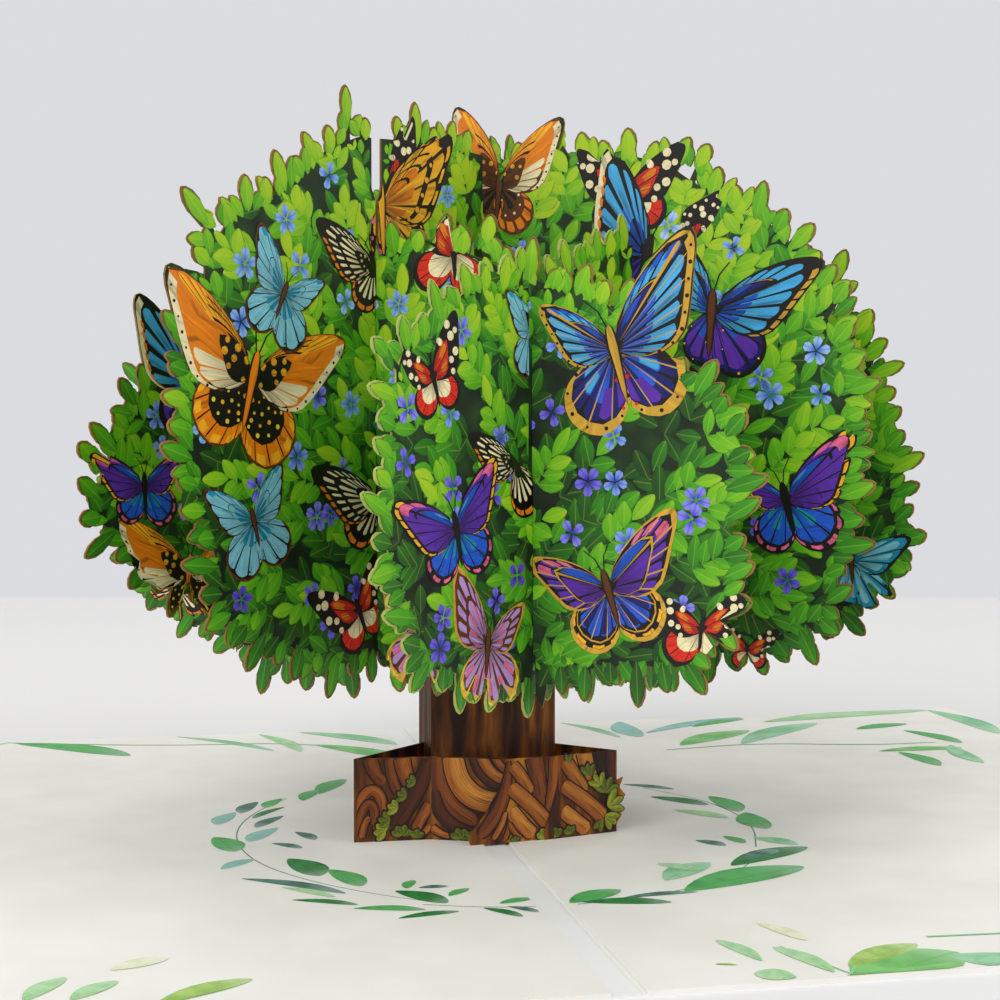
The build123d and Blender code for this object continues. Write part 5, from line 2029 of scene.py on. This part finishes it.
WREATH = (
    PageStem(
        ((-36, 27), (-44, 14), (-48, 0), (-48, -14), (-45, -27), (-38, -39), (-29, -49), (-20, -56)), 0.25, Hue.GREY
    ),
    PageStem(((-22, -57), (-12, -61), (-3, -62)), 0.25, Hue.GREY),
    PageStem(((2, -62), (14, -60), (26, -55), (36, -46), (43, -34)), 0.25, Hue.GREY),
    PageStem(((43, -32), (48, -18), (49, -4), (46, 9), (38, 22)), 0.25, Hue.GREY),
    PageLeaf((-47, 16), (-51, 6), 4.1, Hue.TEAL), PageLeaf((-42, 25), (-46, 15), 3.5, Hue.GREY),
    PageLeaf((-37, 27), (-41, 19), 3.2, Hue.GREEN), PageLeaf((-37, 19), (-44, 10), 2.2, Hue.DEEP),
    PageLeaf((-38, 11), (-44, 2), 3.0, Hue.GREY), PageLeaf((-40, 1), (-46, -9), 4.1, Hue.TEAL),
    PageLeaf((-52, -4), (-49, -16), 5.7, Hue.GREEN), PageLeaf((-52, -28), (-46, -22), 3.2, Hue.TEAL),
    PageLeaf((-40, -23), (-36, -36), 6.2, Hue.DEEP), PageLeaf((-34, -32), (-30, -44), 4.9, Hue.GREEN),
    PageLeaf((-49, -35), (-33, -48), 3.2, Hue.GREY), PageLeaf((-43, -42), (-35, -50), 2.4, Hue.PALE),
    PageLeaf((-42, -50), (-32, -55), 2.4, Hue.DEEP), PageLeaf((-33, -57), (-22, -60), 3.0, Hue.GREEN),
    PageLeaf((-27, -64), (-17, -62), 2.4, Hue.DEEP), PageLeaf((-25, -48), (-18, -57), 4.6, Hue.DEEP),
    PageLeaf((-23, -47), (-21, -42), 2.2, Hue.GREEN), PageLeaf((-21, -47), (-16, -47), 2.0, Hue.GREY),
    PageLeaf((-17, -53), (-13, -49), 2.2, Hue.GREEN), PageLeaf((-37, -3), (-34, -10), 2.7, Hue.GREY),
    PageLeaf((-42, -11), (-37, -16), 2.4, Hue.GREY), PageLeaf((-29, 30), (-22, 44), 4.9, Hue.GREEN),
    PageLeaf((-33, 24), (-29, 34), 3.5, Hue.GREEN), PageLeaf((-10, -59), (-4, -57), 2.4, Hue.GREEN),
    PageLeaf((-9, -61), (-5, -65), 1.9, Hue.GREY), PageLeaf((-13, -61), (-8, -67), 2.2, Hue.DEEP),
    PageLeaf((1, -61), (11, -55), 5.1, Hue.GREEN), PageLeaf((3, -61), (17, -64), 3.8, Hue.DEEP),
    PageLeaf((10, -60), (23, -59), 2.2, Hue.GREY), PageLeaf((20, -51), (31, -41), 5.9, Hue.MINT),
    PageLeaf((34, -44), (52, -34), 6.2, Hue.DEEP), PageLeaf((21, -58), (46, -47), 8.9, Hue.GREEN),
    PageLeaf((38, -40), (46, -35), 4.1, Hue.GREY), PageLeaf((45, -25), (51, -32), 4.1, Hue.MINT),
    PageLeaf((34, -25), (38, -30), 3.0, Hue.GREY), PageLeaf((40, -23), (42, -29), 2.7, Hue.GREEN),
    PageLeaf((51, -5), (50, -19), 6.2, Hue.GREEN), PageLeaf((49, 11), (50, -4), 5.4, Hue.GREEN),
    PageLeaf((37, 13), (46, 3), 4.3, Hue.DEEP), PageLeaf((38, 0), (46, -9), 4.1, Hue.PALE),
    PageLeaf((35, 26), (44, 19), 2.7, Hue.GREY), PageLeaf((28, -46), (22, -40), 3.2, Hue.PALE),
)
BORDER = (
    PageLeaf((-94, 103), (-67, 81), 8.0, Hue.GREEN), PageLeaf((-56, 104), (-34, 80), 3.0, Hue.MINT),
    PageLeaf((-36, 103), (-28, 78), 4.0, Hue.PALE), PageLeaf((-26, 104), (-4, 82), 6.0, Hue.MINT),
    PageLeaf((-24, 86), (-6, 63), 7.0, Hue.FRESH), PageLeaf((41, 104), (50, 80), 3.0, Hue.MINT),
    PageLeaf((56, 102), (55, 80), 7.0, Hue.TEAL), PageLeaf((58, 85), (89, 102), 5.0, Hue.TEAL),
    PageLeaf((72, 91), (89, 100), 4.0, Hue.GREEN), PageLeaf((61, 67), (84, 83), 8.0, Hue.FRESH),
    PageLeaf((76, 66), (105, 90), 8.0, Hue.MINT), PageLeaf((92, 94), (142, 103), 9.0, Hue.PALE),
    PageLeaf((142, 103), (143, 66), 7.0, Hue.MINT), PageLeaf((111, 79), (127, 84), 5.0, Hue.GREEN),
    PageLeaf((122, 75), (128, 56), 5.0, Hue.GREEN), PageLeaf((104, 50), (125, 50), 5.0, Hue.FRESH),
    PageLeaf((108, 48), (110, 31), 5.0, Hue.GREEN), PageLeaf((124, 54), (121, 32), 5.0, Hue.MINT),
    PageStem(((56, 62), (80, 66), (104, 58), (122, 58)), 0.6, Hue.MINT),
    PageStem(((-96, 104), (-60, 92), (-28, 90), (-5, 70)), 0.6, Hue.MINT),
    PageLeaf((29, -108), (49, -98), 13.0, Hue.FRESH), PageLeaf((47, -99), (62, -112), 9.0, Hue.MINT),
    PageStem(((25, -90), (28, -99), (30, -104)), 0.4, Hue.MINT),
    PageStem(((30, -104), (33, -99), (38, -96)), 0.4, Hue.MINT), PageLeaf((31, -101), (45, -93), 5.0, Hue.LIME),
    PageLeaf((28, -103), (24, -90), 3.4, Hue.PALE), PageLeaf((20, -96), (17, -85), 2.8, Hue.PALE),
    PageLeaf((13, -96), (16, -97), 0.8, Hue.LIME), PageLeaf((26, -78), (30, -88), 3.0, Hue.CREAM),
    PageLeaf((22, -104), (17, -101), 5.0, Hue.PALE), PageLeaf((-81, -92), (-76, -83), 3.6, Hue.PALE),
    PageLeaf((-75, -93), (-69, -86), 3.6, Hue.PALE), PageLeaf((-70, -81), (-62, -77), 4.0, Hue.CREAM),
    PageLeaf((-64, -97), (-51, -89), 4.4, Hue.LIME), PageStem(((-78, -97), (-74, -100), (-66, -100)), 0.4, Hue.PALE),
    PageLeaf((-138, -60), (-126, -78), 8.0, Hue.MINT), PageLeaf((-134, -84), (-118, -96), 7.0, Hue.FRESH),
    PageLeaf((-140, 40), (-128, 60), 8.0, Hue.GREEN), PageLeaf((-136, 70), (-116, 86), 8.0, Hue.MINT),
    PageLeaf((-114, 92), (-98, 101), 6.0, Hue.FRESH),
    PageStem(((-142, 30), (-136, 64), (-118, 92), (-96, 103)), 0.7, Hue.MINT),
    PageLeaf((120, -66), (136, -84), 8.0, Hue.MINT), PageLeaf((96, -84), (112, -98), 7.0, Hue.FRESH),
    PageLeaf((70, -88), (84, -101), 7.0, Hue.GREEN),
    PageStem(((48, -90), (80, -92), (112, -88), (136, -66)), 0.6, Hue.MINT),
)


@dataclass
class PagePrint:
    """The watercolour wreath and borders of the pages."""

    page_top: float = 0.85 * MM
    spine_left: float = -4.7 * MM
    spine_right: float = 0.5 * MM
    half_width: float = 148.2 * MM
    half_length: float = 104.7 * MM
    lift: float = 0.02 * MM

    def build(self, ink: Material) -> Object:
        """Press every leaf and stem on its page.

        Args:
            ink: The watercolour ink.

        Returns:
            The printed pages.
        """
        plane = PrintPlane(UP * self.page_top, Vector((1.0, 0.0, 0.0)), Vector((0.0, 1.0, 0.0)), UP, self.lift)
        pad = PrintPad(plane, WashInk)
        shape = leaf_shape(9)
        for number, drawn in enumerate(WREATH + BORDER):
            lift = number * 0.001 * MM
            if isinstance(drawn, PageLeaf):
                flat, faces, local = self._leaf(shape, drawn), shape.faces, shape.local
            else:
                flat, faces, local = self._stem(drawn)
            pad.press_points(self._on_page(flat), faces, local, lift, (drawn.hue.value, 0))
        return pad.build("page_leaves", ink, "page_print")

    def _leaf(self, shape: FlatShape, leaf: PageLeaf) -> np.ndarray:
        """A leaf's outline, bent a little along its length."""
        run = np.array(leaf.tip, float) - np.array(leaf.root, float)
        across = np.array([-run[1], run[0]]) / np.linalg.norm(run)
        bend = 0.06 * np.linalg.norm(run) * np.sin(pi * shape.points[:, 0])
        aside = shape.points[:, 1] * leaf.width + bend * (1 if leaf.root[0] < leaf.tip[0] else -1)
        return (np.array(leaf.root) + shape.points[:, :1] * run + aside[:, None] * across) * MM

    def _stem(self, stem: PageStem) -> tuple[np.ndarray, list[Face], np.ndarray]:
        """A thin painted line: its points, its faces and its places in the atlas cell."""
        track = cut_corners(np.array(stem.line, float), 3)
        run = np.gradient(track, axis=0)
        across = np.column_stack([-run[:, 1], run[:, 0]]) / np.hypot(*run.T)[:, None] * stem.width / 2
        share = np.linspace(0, 1, len(track))
        flat = np.concatenate([track - across, track + across]) * MM
        local = np.concatenate([np.column_stack([share, share * 0 + side]) for side in (0.35, 0.65)])
        return flat, strip_faces(len(track)), local

    def _on_page(self, flat: np.ndarray) -> np.ndarray:
        """Keep the points of a shape on its own page."""
        if flat[:, 0].mean() < 0:
            low, high = -self.half_width, self.spine_left
        else:
            low, high = self.spine_right, self.half_width
        return np.clip(flat, (low, -self.half_length), (high, self.half_length))


@dataclass
class Studio:
    """The pale floor, the backdrop, the soft lamps and the camera."""

    lens: float = 62.5
    camera_place: tuple[float, float, float] = (-0.067, -0.3253, 0.07585)
    camera_ahead: Point = (0.2096, 0.9778)
    camera_dip: float = 2.31
    horizon: float = 0.443
    backdrop: str = "DBDCE0"
    floor_front: float = -4.0
    floor_back: float = 1.5
    floor_half: float = 6.0
    bend: float = 1.0
    wall_top: float = 4.0

    def build(self) -> None:
        """Make everything that lights, carries or frames the card."""
        self._camera()
        self._floor()
        self._lamps()

    def _camera(self) -> None:
        """Set the camera at the photograph's place."""
        data = bpy.data.cameras.new("camera")
        data.lens = self.lens
        data.sensor_width = 36.0
        data.clip_start = 0.01
        item = placed("camera", data)
        dip = radians(self.camera_dip)
        ahead = Vector((self.camera_ahead[0] * cos(dip), self.camera_ahead[1] * cos(dip), -sin(dip)))
        item.location = self.camera_place
        item.rotation_euler = ahead.to_track_quat("-Z", "Y").to_euler()
        bpy.context.scene.camera = item

    def _floor(self) -> None:
        """A pale sweep: floor, curve and wall in one sheet."""
        profile = [(self.floor_front, 0.0), (self.floor_back, 0.0)]
        for step in range(1, 11):
            turn = step * pi / 20
            profile.append((self.floor_back + sin(turn) * self.bend, (1.0 - cos(turn)) * self.bend))
        profile.append((self.floor_back + self.bend, self.wall_top))
        vertices = [(x, y, z) for y, z in profile for x in (-self.floor_half, self.floor_half)]
        faces = [(i, i + 1, i + 3, i + 2) for i in range(0, 2 * len(profile) - 2, 2)]
        mesh = bpy.data.meshes.new("floor")
        mesh.from_pydata(vertices, [], faces)
        floor_item = placed("floor", mesh)
        mesh.shade_smooth()
        material = bpy.data.materials.new("floor")
        material.use_nodes = True
        shader = material.node_tree.nodes["Principled BSDF"]
        shader.inputs["Base Color"].default_value = linear("ECEAE8")
        shader.inputs["Roughness"].default_value = 0.9
        shader.inputs["Specular IOR Level"].default_value = 0.1
        self._backdrop(NodeSketch(material.node_tree), shader)
        mesh.materials.append(material)

    def _backdrop(self, sketch: NodeSketch, shader: Node) -> None:
        """Show the camera an even pale grey beyond the floor's far edge."""
        place = sketch.add("ShaderNodeTexCoord").outputs["Object"]
        depth = sketch.add("ShaderNodeVectorMath", {0: place, 1: (*self.camera_ahead, 0.0)}, operation="DOT_PRODUCT")
        beyond = sketch.span(depth.outputs["Value"], self.horizon, self.horizon + 0.02, 0.0, 1.0)
        seen = sketch.add("ShaderNodeLightPath")
        direct = sketch.math("MAXIMUM", seen.outputs["Is Camera Ray"], seen.outputs["Is Glossy Ray"])
        glow = sketch.add("ShaderNodeEmission", {"Color": linear(self.backdrop), "Strength": 1.0})
        mix = sketch.add("ShaderNodeMixShader", {0: sketch.times(beyond, direct)})
        sketch.feed(mix.inputs[1], shader.outputs[0])
        sketch.feed(mix.inputs[2], glow.outputs[0])
        sketch.feed(sketch.tree.nodes["Material Output"].inputs["Surface"], mix.outputs[0])

    def _lamps(self) -> None:
        """Soft light from above and both sides, and a pale world."""
        for name, place, aim, size, power in (
            ("key", (-1.1, -1.1, 1.3), (0.0, 0.0, 0.05), 1.4, 21.0),
            ("fill", (1.2, -0.9, 1.0), (0.0, 0.0, 0.06), 1.4, 10.0),
            ("top", (0.0, 0.5, 1.9), (0.0, 0.0, 0.0), 1.6, 10.0),
        ):
            data = bpy.data.lights.new(name, "AREA")
            data.shape = "SQUARE"
            data.size = size
            data.energy = power
            item = placed(name, data)
            item.location = place
            item.rotation_euler = (Vector(aim) - Vector(place)).to_track_quat("-Z", "Y").to_euler()
        world = bpy.data.worlds.new("studio")
        world.use_nodes = True
        world.node_tree.nodes["Background"].inputs["Color"].default_value = linear("E4E7EC")
        world.node_tree.nodes["Background"].inputs["Strength"].default_value = 0.50
        bpy.context.scene.world = world
        bpy.context.scene.view_settings.view_transform = "Standard"


def main() -> None:
    """Dress the card, piece by piece."""
    logging.basicConfig(level=logging.INFO, format="%(message)s")
    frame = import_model()
    deselect_all()
    Studio().build()
    effects = SharedEffects()
    tan_edge = PlainPaper("tan_cut_edge", effects, 0.7, 0.2, "9A7338", "7E5A2A").build()
    lime_edge = PlainPaper("lime_cut_edge", effects, 0.7, 0.2, "B9C46A", "A0AC50").build()
    white_card = PlainPaper("white_card", effects, 0.62, 0.12, "F4F3EF", "F0EFEA").build()
    page_paper = PlainPaper("page_paper", effects, 0.62, 0.12, "F6F3EA", "F0ECE2").build()
    bark = BarkInk("printed_bark", effects, 0.66).build()
    ground = GroundInk("dark_foliage", effects, 0.5).build()
    leaf = LeafInk("leaf_ink", effects, 0.42).build()
    petal = PetalInk("petal_ink", effects, 0.42).build()
    wing = WingInk("wing_ink", effects, 0.40).build()
    root = RootInk("root_ink", effects, 0.58).build()
    moss_edge = PlainPaper("moss_cut_edge", effects, 0.7, 0.2, "5A4A1A", "3A3212").build()
    wash = WashInk("watercolour", effects, 0.6).build()
    nodes = frame["nodes"]
    dress(nodes["cover_card"], white_card)
    for name in ("liner_left", "liner_right"):
        dress(nodes[name], page_paper)
    for name in ("trunk_tube", "root_skirt"):
        dress(nodes[name], bark)
    for index, (family, row) in enumerate((f, r) for f in Family for r in ("front", "middle", "back")):
        node = nodes[f"crown_{family.name.lower()}_{row}"]
        edge = lime_edge if (family, row) == (Family.A, "front") else tan_edge
        dress(node, edge)
        sheet = CrownSheet(node, family)
        LOG.info("sheet %s: %d outline points, %d edge leaves", node.name, len(sheet.outline), len(sheet.leaves))
        EdgeLeaves(sheet, 100 + index).build(edge, leaf)
        for side in Side:
            seed = 10 * index + (1 if side is Side.FRONT else 2)
            GroundPrint(sheet, side).build(ground)
            LeafPrint(sheet, side, seed).build(leaf)
            FlowerPrint(sheet, side, seed + 500).build(petal)
            ButterflyPrint(sheet, side).build(wing)
    SkirtPrint().build(root, moss_edge)
    PagePrint().build(wash)


def dress(node: Object, material: Material) -> None:
    """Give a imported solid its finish."""
    node.data.materials.clear()
    node.data.materials.append(material)


if __name__ == "__main__":
    main()
